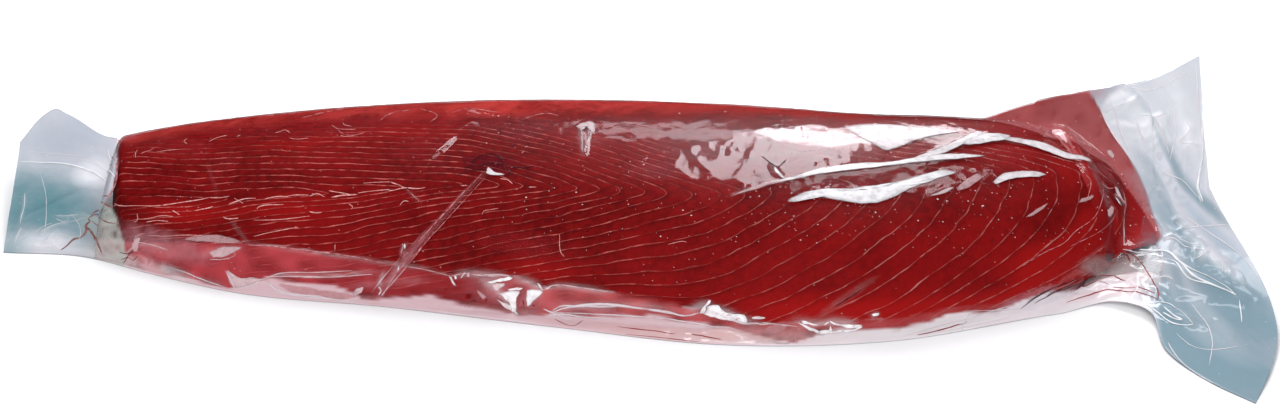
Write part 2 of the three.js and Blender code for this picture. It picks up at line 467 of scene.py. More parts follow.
FLESH_ENDS = 14  # rings crowded into each rounded end
TAIL_CROWD = 12  # how far in the tail's crowded rings reach, mm
TIP = 0.05  # how far the end rings stay from the tips, mm
FINE = 500  # points from which a ring is cut evenly
TOP_SHARE = 0.76  # the share of a ring's faces that lie on top
UNDER_LIFT, UNDER_ROUND = 6.0, 12.0  # how high and how far in the lower edge rounds up, mm
TAIL_SLANT = 20  # how far the front of the tail's cut end slants in, mm
NEAR_BY = 0.5  # how far off the lines are counted to find their spacing, mm
MIDLINE = (  # where the flakes' points lie across the loin: [x, share]
    (-340, 0.28), (-327, 0.295), (-272, 0.33), (-245, 0.355), (-179, 0.365),
    (-104, 0.387), (-64, 0.382), (0, 0.382), (48, 0.385), (100, 0.42), (150, 0.45),
    (200, 0.47), (320, 0.47),
)
FLAKE_POINTS = (  # x of each flake's point, from the tail
    -420, -330, -245, -179, -142, -104, -84, -68, -51, -39, -25, -12, 0, 14, 30, 48,
    *range(63, 592, 16),
)
FLAKE_LEAN = (  # how far a flake's line runs back for each mm down: [x, lean]
    (-400, 6.0), (-100, 5.5), (-50, 4.6), (0, 2.7), (60, 1.95), (143, 0.9), (229, 0.05),
    (320, 0.0), (600, 0.0),
)
FLAKE_CURVE = 72.0  # how strongly the lines bend, mm
FLAKE_ABOVE, FLAKE_BELOW = 4.7, 5.6  # from line to line above and below the midline, mm
POINT_ROUND = (1.6, 6.0)  # radius of the flakes' points, at the tail and the thick end, mm
TAIL_LINES, TAIL_LINES_WITHIN = 1.7, 7  # more lines crowd in under the midline of the tail
LINE_STRENGTH = ((-340, 0.66), (-200, 0.66), (-60, 0.55), (60, 0.34), (320, 0.34))
TONES = (  # brighter and darker places: [x, share, half x, half share, turn, strength]
    (-220, 0.565, 46, 0.055, 0, 0.75), (-150, 0.60, 50, 0.06, 0, 0.45), (-282, 0.28, 36, 0.05, 0, 0.9),
    (-222, 0.31, 42, 0.04, 0, 0.6), (-125, 0.10, 40, 0.06, 0, 0.5), (-290, 0.365, 36, 0.04, 0, -0.9),
    (-217, 0.42, 42, 0.05, 0, -0.8), (-137, 0.27, 34, 0.05, 0, -0.45), (-290, 0.47, 40, 0.05, 0, -0.7),
    (-120, 0.45, 50, 0.08, 0, -0.4), (-60, 0.38, 40, 0.10, 0, -0.5), (-60, 0.16, 40, 0.05, 0, 0.5),
    (-68, 0.52, 30, 0.04, 0, -0.9), (40, 0.48, 60, 0.12, 0, -0.5), (60, 0.30, 60, 0.10, -20, -0.4),
    (130, 0.48, 60, 0.13, 0, -0.5), (200, 0.46, 40, 0.12, 0, -0.4), (120, 0.10, 80, 0.06, 0, 0.5),
    (240, 0.20, 40, 0.07, 0, 0.4), (170, 0.02, 120, 0.09, 0, 1.2), (255, 0.06, 45, 0.10, 0, 0.8),
    (262, 0.50, 18, 0.15, 0, 0.3),
    (280, 0.22, 26, 0.14, 0, 1.2), (262, 0.14, 40, 0.10, 0, 1.0), (0, 0.82, 120, 0.06, 0, -0.3),
)
EDGE_SHARE = 0.93  # the share of the half circle that the even shares span
TOP_RUN = 1.075  # the run over the top, as a multiple of the width that the even shares span


def share_across(x, y):
    """The even share across the loin, 0 at its front edge, from a place in plan."""
    front, back, _ = loin_at(x)
    t = np.clip((y - front) / (back - front), 0, 1)
    return np.arccos(1 - 2 * t) / (EDGE_SHARE * np.pi)


def flake_field(x, share, width):
    """Which flake each place is in, as a running number whose whole values are the lines."""
    down = (through(MIDLINE, 1, x) - share) * width
    number = np.arange(len(FLAKE_POINTS), dtype=float)
    points = np.array(FLAKE_POINTS, float)

    def at_midline(place):
        return np.interp(place, points, number)

    def rounded(depth, radius):
        return np.sqrt(depth * depth + radius * radius) - radius

    round_by = mix(*POINT_ROUND, ease(-90, 120, x))
    above = at_midline(x) + rounded(np.maximum(-down, 0), round_by) / FLAKE_ABOVE
    depth = rounded(np.maximum(down, 0), round_by)
    tight = TAIL_LINES * ease(20, -90, x) * (1 - np.exp(-depth / TAIL_LINES_WITHIN))
    left = at_midline(x) + depth / FLAKE_BELOW + tight
    low, high = x.copy(), x + 500.0
    for _ in range(22):
        middle = (low + high) / 2
        reach = straight(FLAKE_LEAN, middle) * depth + depth**2 / FLAKE_CURVE
        short = middle - reach < x
        low, high = np.where(short, middle, low), np.where(short, high, middle)
    right = at_midline(low)
    below = mix(left, right, ease(-70, 50, x))
    return np.where(down > 0, below, above)


def evenly(lines, steps):
    """Lines cut into even steps, and the length of each."""
    run = run_of(lines)
    share = np.linspace(0, 1, steps, endpoint=False)
    cut = [
        np.stack([np.interp(share * gone[-1], gone, line[:, k]) for k in range(3)], -1)
        for gone, line in zip(run, lines)
    ]
    return np.array(cut), run[:, -1]


def flesh_rings(sizes):
    """Rings of points round the flesh, their places along it, and the width over the top of each."""
    crowded = (np.arange(FLESH_ENDS) / FLESH_ENDS) ** 2
    tail = TAIL_X + TIP + TAIL_CROWD * crowded
    nose = NOSE_X - TIP - NOSE_ROUND * crowded
    middle = np.linspace(tail[-1], nose[-1], sizes.rings + 1 - 2 * FLESH_ENDS)
    places = np.concatenate((tail, middle[1:-1], nose[::-1]))

    even = 0.5 - 0.5 * np.cos(np.pi * np.linspace(0, 1, FINE))
    front, back, _ = loin_at(places)
    wall = sizes.gap / MM
    y = mix(front[:, None] + wall, back[:, None] - wall, even)
    x = np.repeat(places[:, None], FINE, 1)
    edge = np.minimum(y - front[:, None], back[:, None] - y)
    under = FILM / 2 + UNDER_LIFT * np.clip(1 - edge / UNDER_ROUND, 0, 1) ** 2
    high = flesh_height(x, y)
    under = np.minimum(under, 0.4 * high + FILM / 2)
    high = np.maximum(high, under + 0.02)
    top_steps = int(sizes.around * TOP_SHARE)
    top, width = evenly(np.stack((x, y, high), -1), top_steps)
    low, _ = evenly(np.stack((x, y, under), -1)[:, ::-1], sizes.around - top_steps)
    return np.concatenate((top, low), 1), places, width / TOP_RUN


def paint_flesh(piece, x, share, broad, wavy):
    """Keeps the spacing and strength of the lines and the tone of the flesh at each vertex."""
    here = flake_field(x, share, broad)
    across = flake_field(x, share + NEAR_BY / broad, broad) - here
    ahead = flake_field(x + NEAR_BY, share, broad) - here
    spacing = NEAR_BY / np.maximum(np.hypot(across, ahead), 1e-3)
    paint(piece, "flake_width", np.clip(spacing, 1.5, 30) * MM)
    tone = 0.25 * cloud(wavy * (0.3, 1, 1), size=22, seed=9) - 0.22 * ease(-150, -230, x)
    for along, middle, half_along, half_share, turn, strength in TONES:
        wide = half_share * broad
        tone += strength * spot(x, (share - middle) * broad, along, 0, half_along, wide, turn)
    paint(piece, "tone", np.clip(tone, -1, 1))
    fading = ease(0.66, 0.58, share) * ease(0.0, 0.08, share) * ease(-338, -322, x)
    paint(piece, "line", straight(LINE_STRENGTH, x) * fading)


def build_flesh(sizes):
    """The loin, with what its finish needs at each vertex."""
    rings, around = sizes.rings, sizes.around
    clear_selection()
    bpy.ops.mesh.primitive_uv_sphere_add(segments=around, ring_count=rings, radius=1.0)
    piece = bpy.context.object
    ball = corners_of(piece)
    ring = np.round(np.arccos(np.clip(ball[:, 2], -1, 1)) / np.pi * rings).astype(int)
    turn = np.arctan2(ball[:, 1], ball[:, 0]) / (2 * np.pi) % 1
    step = np.round(turn * around).astype(int) % around

    loops, places, width = flesh_rings(sizes)
    pole = (ring == 0) | (ring == rings)
    shape = loops[np.clip(ring - 1, 0, rings - 2), step]
    ends = loops[(0, -1), :].mean(1)
    shape[ring == 0] = ends[0]
    shape[ring == rings] = ends[1]

    x, y = shape[:, 0], shape[:, 1]
    share = share_across(x, y)
    broad = np.interp(x, places, width)
    wavy = np.stack((x / 2.2, share * broad, shape[:, 2] * 0), -1)
    loose = ease(80, -60, x)
    sway = mix(0.14, 0.28, loose) * cloud(wavy, size=19, seed=3)
    sway += mix(0.06, 0.14, loose) * cloud(wavy, size=6, seed=4)
    number = flake_field(x, share, broad) + sway
    dents = 0.35 * cloud(shape, size=34, seed=8) + np.minimum(fold_height(x, y), 0)
    shape[:, 2] = np.maximum(shape[:, 2] + dents * ~pole, FILM / 2)
    shape[:, 0] += TAIL_SLANT * (1 - np.clip(share, 0, 1)) ** 2 * ease(-280, -340, x)
    move_corners(piece, shape)
    paint(piece, "flake", number)
    paint_flesh(piece, shape[:, 0], share, broad, wavy)
    close_up(piece)
    return piece


# ---- the film ----

# steps along the film: [from, to, steps]
FILM_STRETCHES = ((-400, -345, 56), (-345, 285, 462), (285, 354, 84))
FILM_COLUMNS, FILM_UNDER_COLUMNS = 138, 10
LONG_WAVES, LONG_WISPS = (0.45, 1, 1), (0.6, 1, 1)  # noise drawn out along the bag
WHITE, PINK, LILAC = (0.90, 0.89, 0.92), (0.60, 0.075, 0.095), (0.78, 0.66, 0.76)
TEAL, SLATE, BLUE = (0.09, 0.21, 0.24), (0.19, 0.28, 0.33), (0.27, 0.36, 0.44)
FLAP_REFLECTION, CREAM, GREY = (0.34, 0.38, 0.45), (0.42, 0.44, 0.41), (0.50, 0.36, 0.36)
TAWNY, HAZED, PALE_ROSE = (0.58, 0.36, 0.34), (0.55, 0.24, 0.27), (0.66, 0.36, 0.36)
ROSE, BROWN = (0.72, 0.24, 0.25), (0.12, 0.01, 0.02)
UNDERSIDE_COVER = 0.06
ENDS_COLOUR, ENDS_COVER = (0.47, 0.48, 0.54), 0.74
HEM_LEFT, HEM_RIGHT, HEM_COVER = (0.86, 0.60, 0.65), (0.97, 0.89, 0.92), 0.72
FOLD_LEFT, FOLD_MIDDLE = (0.52, 0.062, 0.075), (0.58, 0.11, 0.118)  # flesh seen through two layers
RIGHT_END = (  # where the empty end starts: [share across, along]
    (0, 304), (0.26, 302), (0.33, 299), (0.36, 297), (0.40, 299.5), (0.52, 296), (0.63, 294.5),
    (0.76, 291.5), (0.86, 288), (0.94, 286.5), (1, 284),
)
LEFT_END = (  # where the other empty end starts: [across mm, along]
    (0, -339), (30, -338), (36, -334), (42, -331.5), (50, -329), (62, -328), (74, -329),
    (84, -332), (95, -338), (110, -341), (200, -341),
)
PALE_EDGE = (  # where the pale outer hem starts: [along, across mm]
    (-400, 0), (-330, 0), (-313, 2), (-276, 3), (-250, 2), (-232, 10), (-223, 12), (-208, 11),
    (-184, 10), (-166, 4), (-156, 6), (-125, 11), (-107, 9), (-92, 8.3), (-83, 7.7), (-73, 6),
    (-62, 8), (-56, 9.5), (-52, 13), (-34, 12), (7, 19), (35, 18), (63, 12), (77, 6), (90, 3),
    (108, 10), (138, 9), (153, 8), (168, 10), (183, 13), (214, 11), (246, 18), (300, 30),
)
FRONT_EDGE_OF_FOLD = (  # where the second layer of film over the front ends: [along, across mm]
    (-400, 0), (-335, 14), (-309, 18), (-283, 24), (-242, 32), (-208, 32), (-184, 29),
    (-151, 28), (-137, 27), (-113, 25), (-95, 31), (-75, 31), (-59, 26), (-45, 30), (-29, 30),
    (13, 29), (35, 26), (52, 25), (63, 18), (91, 17), (125, 14), (153, 14), (183, 17),
    (214, 15), (250, 23), (300, 34),
)
BACK_HAZE = (  # where the hazy film behind the loin starts: [along, across mm]
    (-400, 80), (-323, 87), (-310, 99), (-279, 117), (-247, 131), (-214, 138), (-182, 140),
    (-150, 142), (-118, 147), (-87, 150), (-56, 153), (-25, 161), (6, 168), (37, 173),
    (68, 174), (99, 171), (130, 169), (162, 174), (193, 170), (230, 170),
)
FOLD_COVER = (  # how much the second layer over the front hides: [along, cover]
    (-345, 0), (-325, 0.8), (-200, 0.8), (-150, 0.4), (-100, 0.3), (-62, 0.8), (60, 0.8),
    (150, 0.5), (240, 0.4), (285, 0),
)
BACK_COLOUR, BACK_COVER = (0.66, 0.062, 0.055), 0.55
RIDGE_HAZE = 0.4  # how much of the white painted along a ridge as a highlight shows

RIDGES = (  # creases that stand up in the film: [height, half width, white painted along the crest as a highlight, corners]
    (1.6, 1.6, 0.08, ((-92, 99), (-107, 76), (-123, 53), (-140, 31), (-147, 23), (-157, 6))),
    (1.2, 1.4, 0.05, ((-96, 94), (-112, 71), (-129, 48), (-145, 28), (-153, 17), (-164, 2))),
    (1, 2, 0.25, ((-140, 41), (-143, 36), (-142, 32))),
    (1.4, 2, 0.45, ((-153, 23), (-156, 17), (-156, 12))),
    (0.9, 1.6, 0.22,
     ((-238, 32), (-225, 32), (-202, 30), (-178, 29), (-152, 27), (-129, 28), (-112, 25))),
    (0.8, 1.4, 0.45, ((-228, 11), (-219, 15), (-202, 16), (-182, 17), (-165, 21), (-155, 21))),
    (0.6, 1.5, 0.2, ((-252, 13), (-245, 4))),
    (0.6, 1.2, 0.3, ((-320, 5), (-315, 12), (-310, 16), (-302, 19), (-289, 18))),
    (0.7, 1.2, 0.35, ((-312, 15), (-310, 22), (-307, 23))),
    (0.35, 1.2, 0.05, ((-270, 88), (-265, 75), (-259, 61))),
    (0.5, 1.4, 0.12, ((-250, 46), (-243, 38), (-236, 30))),
    (0.4, 1.4, 0.1, ((-142, 77), (-132, 69))),
    (1, 2.2, 0.35, ((-37, 153), (-36, 141), (-34, 120))),
    (0.9, 2.2, 0.3, ((-31, 158), (-31, 149), (-32, 139), (-34, 121))),
    (2, 3, 0.4, ((-112, 26), (-104, 28), (-91, 29), (-79, 29))),
    (2.4, 3, 0.55, ((-97, 26), (-86, 22), (-78, 15), (-74, 5))),
    (1.8, 3, 0.45, ((-77, 29), (-65, 29), (-58, 25), (-64, 21), (-67, 15))),
    (1.4, 2.4, 0.35, ((-58, 25), (-52, 29), (-37, 30), (-18, 29))),
    (1.2, 2.5, 0.45, ((-52, 14), (-37, 19), (-12, 22))),
    (1.2, 2.5, 0.35, ((-54, 11), (-41, 18), (-17, 23), (9, 25), (26, 23))),
    (2.2, 3.2, 0.65, ((26, 23), (37, 29), (41, 27), (52, 24), (63, 19), (71, 19))),
    (2.2, 3.2, 0.6, ((91, 20), (104, 14), (115, 16), (128, 11), (117, 10), (104, 11))),
    (1.4, 2, 0.5, ((135, 17), (140, 18))),
    (0.8, 1.4, 0.3, ((78, 125), (83, 113))),
    (0.7, 1.2, 0.25, ((83, 124), (81, 121), (86, 113))),
    (0.6, 2, 0.12, ((52, 98), (67, 104), (82, 110))),
    (0.5, 1.6, 0.3, ((171, 90), (179, 94), (187, 96))),
    (0.8, 3, 0.05, ((82, 110), (108, 114), (136, 116), (169, 121), (207, 120))),
    (1.2, 4, 0.1, ((168, 124), (190, 134), (212, 137), (234, 135), (251, 127), (260, 116), (268, 112))),
    (1.0, 2, 0.08, ((267, 121), (267, 109), (271, 100), (277, 90))),
    (1.8, 2, 0.4, ((276, 84), (281, 78))),
    (1.0, 2, 0.08, ((273, 65), (275, 76))),
    (1.6, 2.5, 0.1, ((281, 92), (280, 68), (279, 49))),
    (1.6, 4, 0.55, ((303, 156), (303, 147), (302, 137))),
    (1.6, 4, 0.55, ((307, 164), (317, 191), (328, 216))),
    (1.4, 4, 0.5, ((317, 191), (322, 191), (324, 182))),
    (1.4, 5, 0.5, ((341, 232), (345, 230), (333, 205), (351, 230))),
    (0.8, 3, 0.35, ((288, 147), (298, 158), (312, 187))),
    (1, 1.2, 0.45, ((354, 287), (354, 256), (350, 212), (342, 174))),
    (0.8, 1.2, 0.3, ((353, 237), (354, 213), (349, 187))),
    (1.4, 5, 0.65, ((321, 94), (330, 118), (332, 114), (335, 111))),
    (0.6, 2, 0.25, ((299, 63), (318, 101), (331, 123))),
    (0.8, 1.5, 0.35, ((297, 26), (308, 42))),
    (0.8, 1.5, 0.3, ((191, 0), (191, 5), (195, 12))),
    (0.7, 1.5, 0.35, ((318, 0), (325, 0))),
    (1, 1.6, 0.3, ((-393, 62), (-392, 46), (-392, 28))),
    (1, 1.6, 0.3, ((-391, 25), (-394, 11))),
    (0.8, 2, 0.3, ((-371, 37), (-364, 36), (-356, 39))),
    (0.8, 2, 0.3, ((-378, 20), (-368, 29), (-359, 29))),
    (1, 2, 0.35, ((-384, 9), (-375, 4), (-366, 6))),
    (0.8, 2, 0.25, ((-371, 17), (-368, 7), (-360, 4))),
)
RUFFLES = (  # crumpled places: [along, across, half along, half across, turn, height, size]
    (10, 128, 62, 26, 4, 0.5, 20), (60, 135, 40, 16, 6, 0.3, 14), (-30, 140, 24, 22, 0, 0.35, 15),
    (-95, 104, 16, 10, 0, 0.7, 6), (-240, 140, 70, 18, 0, 0.5, 10), (-130, 155, 70, 14, 0, 0.5, 9),
    (100, 128, 50, 12, 4, 0.35, 9), (200, 118, 50, 14, 8, 0.4, 9), (-180, 14, 90, 10, 0, 0.9, 9),
    (-80, 18, 50, 12, 0, 1.6, 8), (40, 22, 50, 8, 0, 1.0, 8), (110, 14, 40, 8, 0, 1.2, 8),
    (262, 85, 14, 26, 0, 0.9, 8), (240, 40, 40, 12, -30, 0.5, 9), (-375, 14, 34, 14, 0, 1.0, 7),
    (312, 165, 22, 34, 0, 2.2, 13), (335, 215, 24, 40, 0, 1.8, 15), (322, 105, 24, 20, 0, 2.0, 11),
    (125, 100, 52, 9, 6, 0.3, 10), (215, 92, 40, 10, 8, 0.35, 12), (235, 70, 26, 14, -20, 0.4, 8),
    (328, 50, 30, 26, 0, 0.8, 16), (270, 24, 44, 16, 0, 1.2, 9), (-300, 30, 40, 16, 0, 0.8, 9),
)
DOUBLED_FOLD_GLINTS = (  # sharp doubled folds, their white painted as glints: [width, corners]
    (1.1, ((-399, 97), (-389, 95), (-378, 93), (-370, 90), (-362, 86), (-348, 79), (-328, 58))),
    (1.5, ((288, 48), (297, 51), (311, 66), (330, 91), (338, 90))),
    (1, ((295, 40), (312, 59), (329, 83), (338, 90))),
    (0.9, ((298, 3), (305, 13), (313, 33), (324, 36))),
    (0.9, ((298, 3), (306, 4), (321, 29), (324, 36))),
    (0.8, ((354, 287), (354, 256), (350, 212), (342, 174))),
    (1.6, ((293, 48), (316, 69), (338, 91))), (1, ((308, 14), (323, 36), (309, 12))),
    (0.8, ((339, 89), (340, 69))), (1.2, ((351, 222), (344, 178))), (1.2, ((276, 82), (279, 77))),
    (0.9, ((-141, 41), (-141, 37))), (0.9, ((-144, 27), (-145, 23))),
    (1.1, ((-157, 12), (-156, 9))),
)
PAINTED_HIGHLIGHTS = (  # painted highlights: white glints and reflections laid on the crumpled film as thin flat lenses: [paleness, corners]
    (0.8, ((-114.1, 25.1), (-112.6, 24.6), (-111.4, 22.3), (-110, 20), (-110.9, 19.7),
      (-112.3, 20.9), (-113.3, 23))),
    (1, ((-110.9, 25.5), (-109.6, 25.9), (-109.4, 24.0), (-110.4, 23.5))),
    (0.7, ((-107.3, 24.4), (-106.3, 26.2), (-104.9, 28), (-103.7, 29.1), (-104.9, 27.1),
      (-106.1, 25.3))),
    (0.6, ((-103.2, 26.5), (-102.7, 27.9), (-102.0, 29.4), (-101.2, 27.6), (-102.2, 26.0))),
    (1, ((-91.4, 24.3), (-88.6, 25.8), (-84.2, 27.8), (-79, 29.7), (-76.6, 30.1), (-75.5, 29.7),
      (-77, 28), (-80.7, 26.9), (-84.7, 25.7), (-88.6, 24.5))),
    (0.6, ((-88.6, 24.3), (-84.7, 25.1), (-79.9, 25.8), (-80.5, 23.8), (-83.2, 22.5), (-84.7, 20),
      (-86.9, 21.6))),
    (1, ((-83.1, 24.6), (-81.1, 25.0), (-81.6, 23.7), (-83.1, 23.3))),
    (0.9, ((-79, 22.2), (-76.1, 23.5), (-72.7, 24.5), (-70.1, 24.9), (-69.6, 24.5), (-71, 23.5),
      (-74.8, 22.2), (-78.2, 21.5))),
    (0.95, ((-84.2, 19.8), (-78.2, 21.4), (-71.5, 23), (-72.5, 19.9), (-73.4, 16.8), (-73.6, 12.9),
      (-73.5, 9.6), (-71.8, 5.3), (-74.9, 6.3), (-76.3, 10.4), (-77.1, 13.9), (-78.8, 15.9),
      (-81.6, 18.1))),
    (0.8, ((-85.7, 15.3), (-82.1, 14.3), (-78.2, 14.2), (-76.1, 13.5), (-76.1, 9.9), (-79.6, 11.1),
      (-82.6, 12.3))),
    (1, ((-67.2, 23.5), (-63.6, 25.1), (-58.6, 25.7), (-57.3, 24.1), (-59.2, 21.6), (-62.4, 18.7),
      (-64.6, 15.7), (-66.4, 13.9), (-67.6, 14), (-67.7, 17.5), (-67, 21.1))),
    (0.8, ((-61.4, 29.2), (-59.1, 28.2), (-57.2, 25.1), (-58.1, 25.3), (-59.8, 27.0))),
    (0.7, ((-56.3, 25.5), (-55.0, 27.3), (-52.6, 29.0), (-51.3, 29.4), (-53.3, 27.7), (-55.0, 26.2))),
    (0.5, ((-98.4, 28.2), (-90.2, 29.7), (-78.2, 31.1), (-75.6, 30.3), (-78.7, 30.2), (-90.2, 28.9),
      (-97.9, 27.6))),
    (0.35, ((-97.9, 19.1), (-93.6, 17.7), (-91.6, 15.7), (-93.7, 13.4), (-95.6, 15.9))),
    (1, ((34.8, 23.3), (35.8, 24.7), (37.4, 27.2), (39.9, 31.3), (42.1, 31.8), (41.6, 30.5),
      (39.4, 27.6), (38.5, 24.7), (37.4, 23))),
    (1, ((36.7, 22.8), (39.2, 25.8), (40.2, 27.9), (42.4, 28.9), (45.7, 29), (48, 27.2),
      (50.8, 25.1), (54.7, 24.1), (61.8, 23.5), (63.4, 21.3), (63.3, 19.1), (56.1, 19.8),
      (49.1, 20.2), (41.3, 21.6))),
    (0.7, ((65.2, 22.1), (69.5, 22.4), (74.0, 21.8), (74.0, 21.1), (70.2, 20.8), (66.0, 21.1))),
    (0.6, ((61.8, 19.6), (69.5, 18.6), (79.4, 17.8), (79.4, 17.3), (69.5, 17.6), (61.8, 18.7))),
    (0.9, ((94.6, 18), (97, 18.2), (99.1, 16.7), (102.4, 15.4), (105.6, 14.2), (102.3, 14.5),
      (98.1, 15.9), (95.4, 16.2))),
    (1, ((92.2, 17.7), (96.3, 15.8), (101.1, 13.2), (105.7, 11.2), (105.9, 9.5), (103, 10.3),
      (98.1, 13.1), (94.1, 16.1))),
    (1, ((105.1, 11.5), (112.8, 10.4), (120, 10.1), (119.7, 8.9), (112.9, 9.1), (106.9, 8.9),
      (105, 9.6))),
    (1, ((118.6, 10.0), (125.3, 10.2), (130.3, 11.1), (130.3, 10.3), (125.6, 9.0), (119.6, 8.8))),
    (1, ((110.4, 16.1), (112.1, 16.3), (114.3, 14.7), (118.6, 13.3), (118.6, 12.6), (116.8, 12.6),
      (113.3, 14))),
    (1, ((117.5, 13.5), (123.1, 13.1), (127.7, 12.6), (130.4, 11.3), (128.8, 10.5), (124.5, 11.2),
      (121, 11.1), (117.5, 12.4))),
    (0.8, ((107.5, 14.4), (110.4, 15.9), (110.9, 15.1), (108.3, 13.6))),
    (0.8, ((111.4, 14.2), (112.5, 11.3), (112.8, 10.0), (110.7, 10.2), (111.3, 12.0))),
    (0.9, ((135.3, 18.1), (137.6, 18.6), (140.1, 18.8), (140.1, 17.3), (136.9, 16.8))),
    (0.7, ((75.0, 5.7), (79.4, 4.0), (87.9, 2.7), (87.8, 1.6), (80.8, 1.8), (76.2, 4.5))),
    (0.2, ((70.7, 14.4), (76.6, 17.0), (88.9, 17.0), (83.6, 13.4), (77.6, 9.1), (70.2, 8.4))),
    (0.5, ((89.7, 10.3), (90.3, 10.1), (92.6, 2.2), (91.7, 2.2))),
    (0.85, ((-92.6, 102), (-91, 100.5), (-88.2, 98.5), (-84.6, 97.5), (-81.5, 97.3), (-84.6, 95.9),
      (-89.7, 95.5), (-93.6, 96.4), (-93.2, 99.2))),
    (0.6, ((-39.8, 150.6), (-37, 153.7), (-31.5, 157.4), (-28.7, 157), (-27.4, 150.3),
      (-27.7, 141.6), (-28.6, 143.9), (-29.6, 151.3), (-32.2, 153.2), (-34.8, 151.3), (-35.6, 145.7),
      (-36.5, 144.5), (-38.2, 147.7))),
    (0.4, ((-36.5, 145.1), (-35.6, 145.1), (-35, 139), (-34.7, 129), (-34.3, 122.6), (-35.3, 123.5),
      (-35.9, 131))),
    (0.4, ((-33.8, 146.5), (-33, 139.5), (-32, 129.3), (-31.7, 126.2), (-32.7, 128.1), (-34.1, 138))),
    (0.6, ((171.8, 89.6), (187.7, 95.5), (188.7, 93.7), (181.9, 90.5))),
    (0.4, ((189.4, 93.2), (196.6, 100), (204.9, 104), (207.7, 100.3), (200.8, 94.3), (191.1, 90.9))),
    (0.9, ((212.9, 95.2), (220.3, 101.3), (232.5, 101.8), (243.1, 100.2), (246.5, 97.6),
      (242.7, 95.4), (227.8, 96), (219.5, 94.2), (214.6, 92.3))),
    (0.4, ((231.2, 64.9), (237.0, 69.3), (246.2, 75.3), (243.4, 71.7), (237.0, 65.9))),
    (0.4, ((258.9, 75.8), (261.0, 79.6), (265.5, 82.1), (266.4, 80.2), (261.8, 76.9))),
    (0.55, ((51.4, 96.7), (64, 103), (76.9, 108.9), (88.3, 111.3), (91.6, 110.5), (79.8, 107.7),
      (65.5, 101.4))),
    (0.9, ((74, 107.9), (88.3, 111.7), (108.5, 118.5), (130.2, 122), (154.8, 122.1), (155.8, 118.8),
      (137.2, 116.1), (108.2, 112.9), (88.2, 109.8))),
    (0.95, ((144.5, 120.7), (166.7, 124.2), (184.7, 125.1), (196.6, 123.5), (212.9, 118.2),
      (196.2, 118.6), (175.1, 119.4), (145.8, 117))),
    (0.9, ((162.1, 122.8), (175.9, 127.9), (188.6, 134.1), (198.4, 141.4), (208.7, 148.9),
      (214.4, 145.9), (207.4, 139.5), (197.4, 132.6), (184.7, 125.1), (166.4, 120.7))),
    (0.95, ((196, 132.8), (204.5, 140.6), (212.7, 144.6), (222.3, 143.3), (229.5, 139.4),
      (228.8, 133.5), (216, 133), (203.5, 131.1))),
    (1, ((86.9, 95.1), (93.4, 98.2), (99.2, 100.1), (110.4, 101.2), (118.7, 98.1), (128.9, 100.4),
      (143.2, 102.4), (157.7, 104.2), (169.7, 107.8), (181.9, 110.9), (193.5, 107.6), (188.9, 105.4),
      (179.6, 103.3), (173.6, 101.3), (164.6, 98.5), (157.1, 94.6), (149.7, 90.7), (140.9, 87.6),
      (129.5, 87.8), (118.4, 90.8), (110, 94.1), (102, 95.6), (94.4, 93.4), (87.7, 92.8))),
    (0.8, ((122.6, 163.8), (140.5, 167.2), (155.6, 166.3), (169.9, 161), (184.5, 155.9),
      (202.4, 149), (183.8, 147.3), (168.1, 142.8), (155.8, 134.9), (148.2, 132.7), (142.9, 139.9),
      (132, 151.4))),
    (0.9, ((81.2, 120.2), (83.8, 116.5), (86.5, 111.6), (85.2, 111.2), (82, 115.5), (80.2, 119))),
    (0.9, ((224.1, 137.2), (238.7, 132.9), (248, 129.2), (253.7, 124), (259, 116.9), (268.6, 111.7),
      (267.3, 108.7), (258.3, 112.8), (251.7, 118.1), (244.8, 123.7), (233.4, 130.5), (223.7, 134))),
    (0.55, ((281.0, 120.4), (283.1, 120.4), (284.1, 116.1), (282.5, 113.8), (280.9, 116.3))),
    (0.7, ((276.7, 90.5), (278.2, 89.8), (278.9, 85.0), (280.0, 79.3), (278.4, 79.6), (276.9, 83.8))),
    (0.5, ((271.8, 71.9), (273.6, 76.4), (275.3, 74.5), (274.2, 69.9), (272.9, 67.0), (272.0, 69.3))),
    (0.5, ((-262.6, 22.3), (-253.7, 27.2), (-240.9, 29.6), (-245.5, 25.4), (-252, 21.2),
      (-260.2, 19.5))),
    (0.35, ((-280.2, 26.4), (-271.9, 30.7), (-255.9, 34.6), (-241.3, 33.1), (-244.3, 31.1),
      (-257.2, 29.2), (-270.2, 27))),
    (0.55, ((-251.4, 13.7), (-250, 7.1), (-246.8, 2.6), (-234.8, 7.8), (-225.1, 12.1),
      (-236.3, 11.4), (-244.1, 10.2), (-248.7, 11.8))),
    (0.22, ((-220.3, 10.3), (-210.9, 9.6), (-198.6, 8.6), (-181.6, 7.6), (-167.7, 6.1), (-183.3, 1),
      (-190.9, 4.8), (-203.4, 4.4), (-214.3, 6))),
    (0.5, ((-172.2, 9.4), (-165.9, 12.3), (-167.3, 8.2), (-173.2, 4.8))),
    (0.45, ((-313.3, 14.7), (-311, 20), (-306.9, 22.2), (-308.3, 18.7), (-309.1, 12.6),
      (-311.9, 11.9))),
)
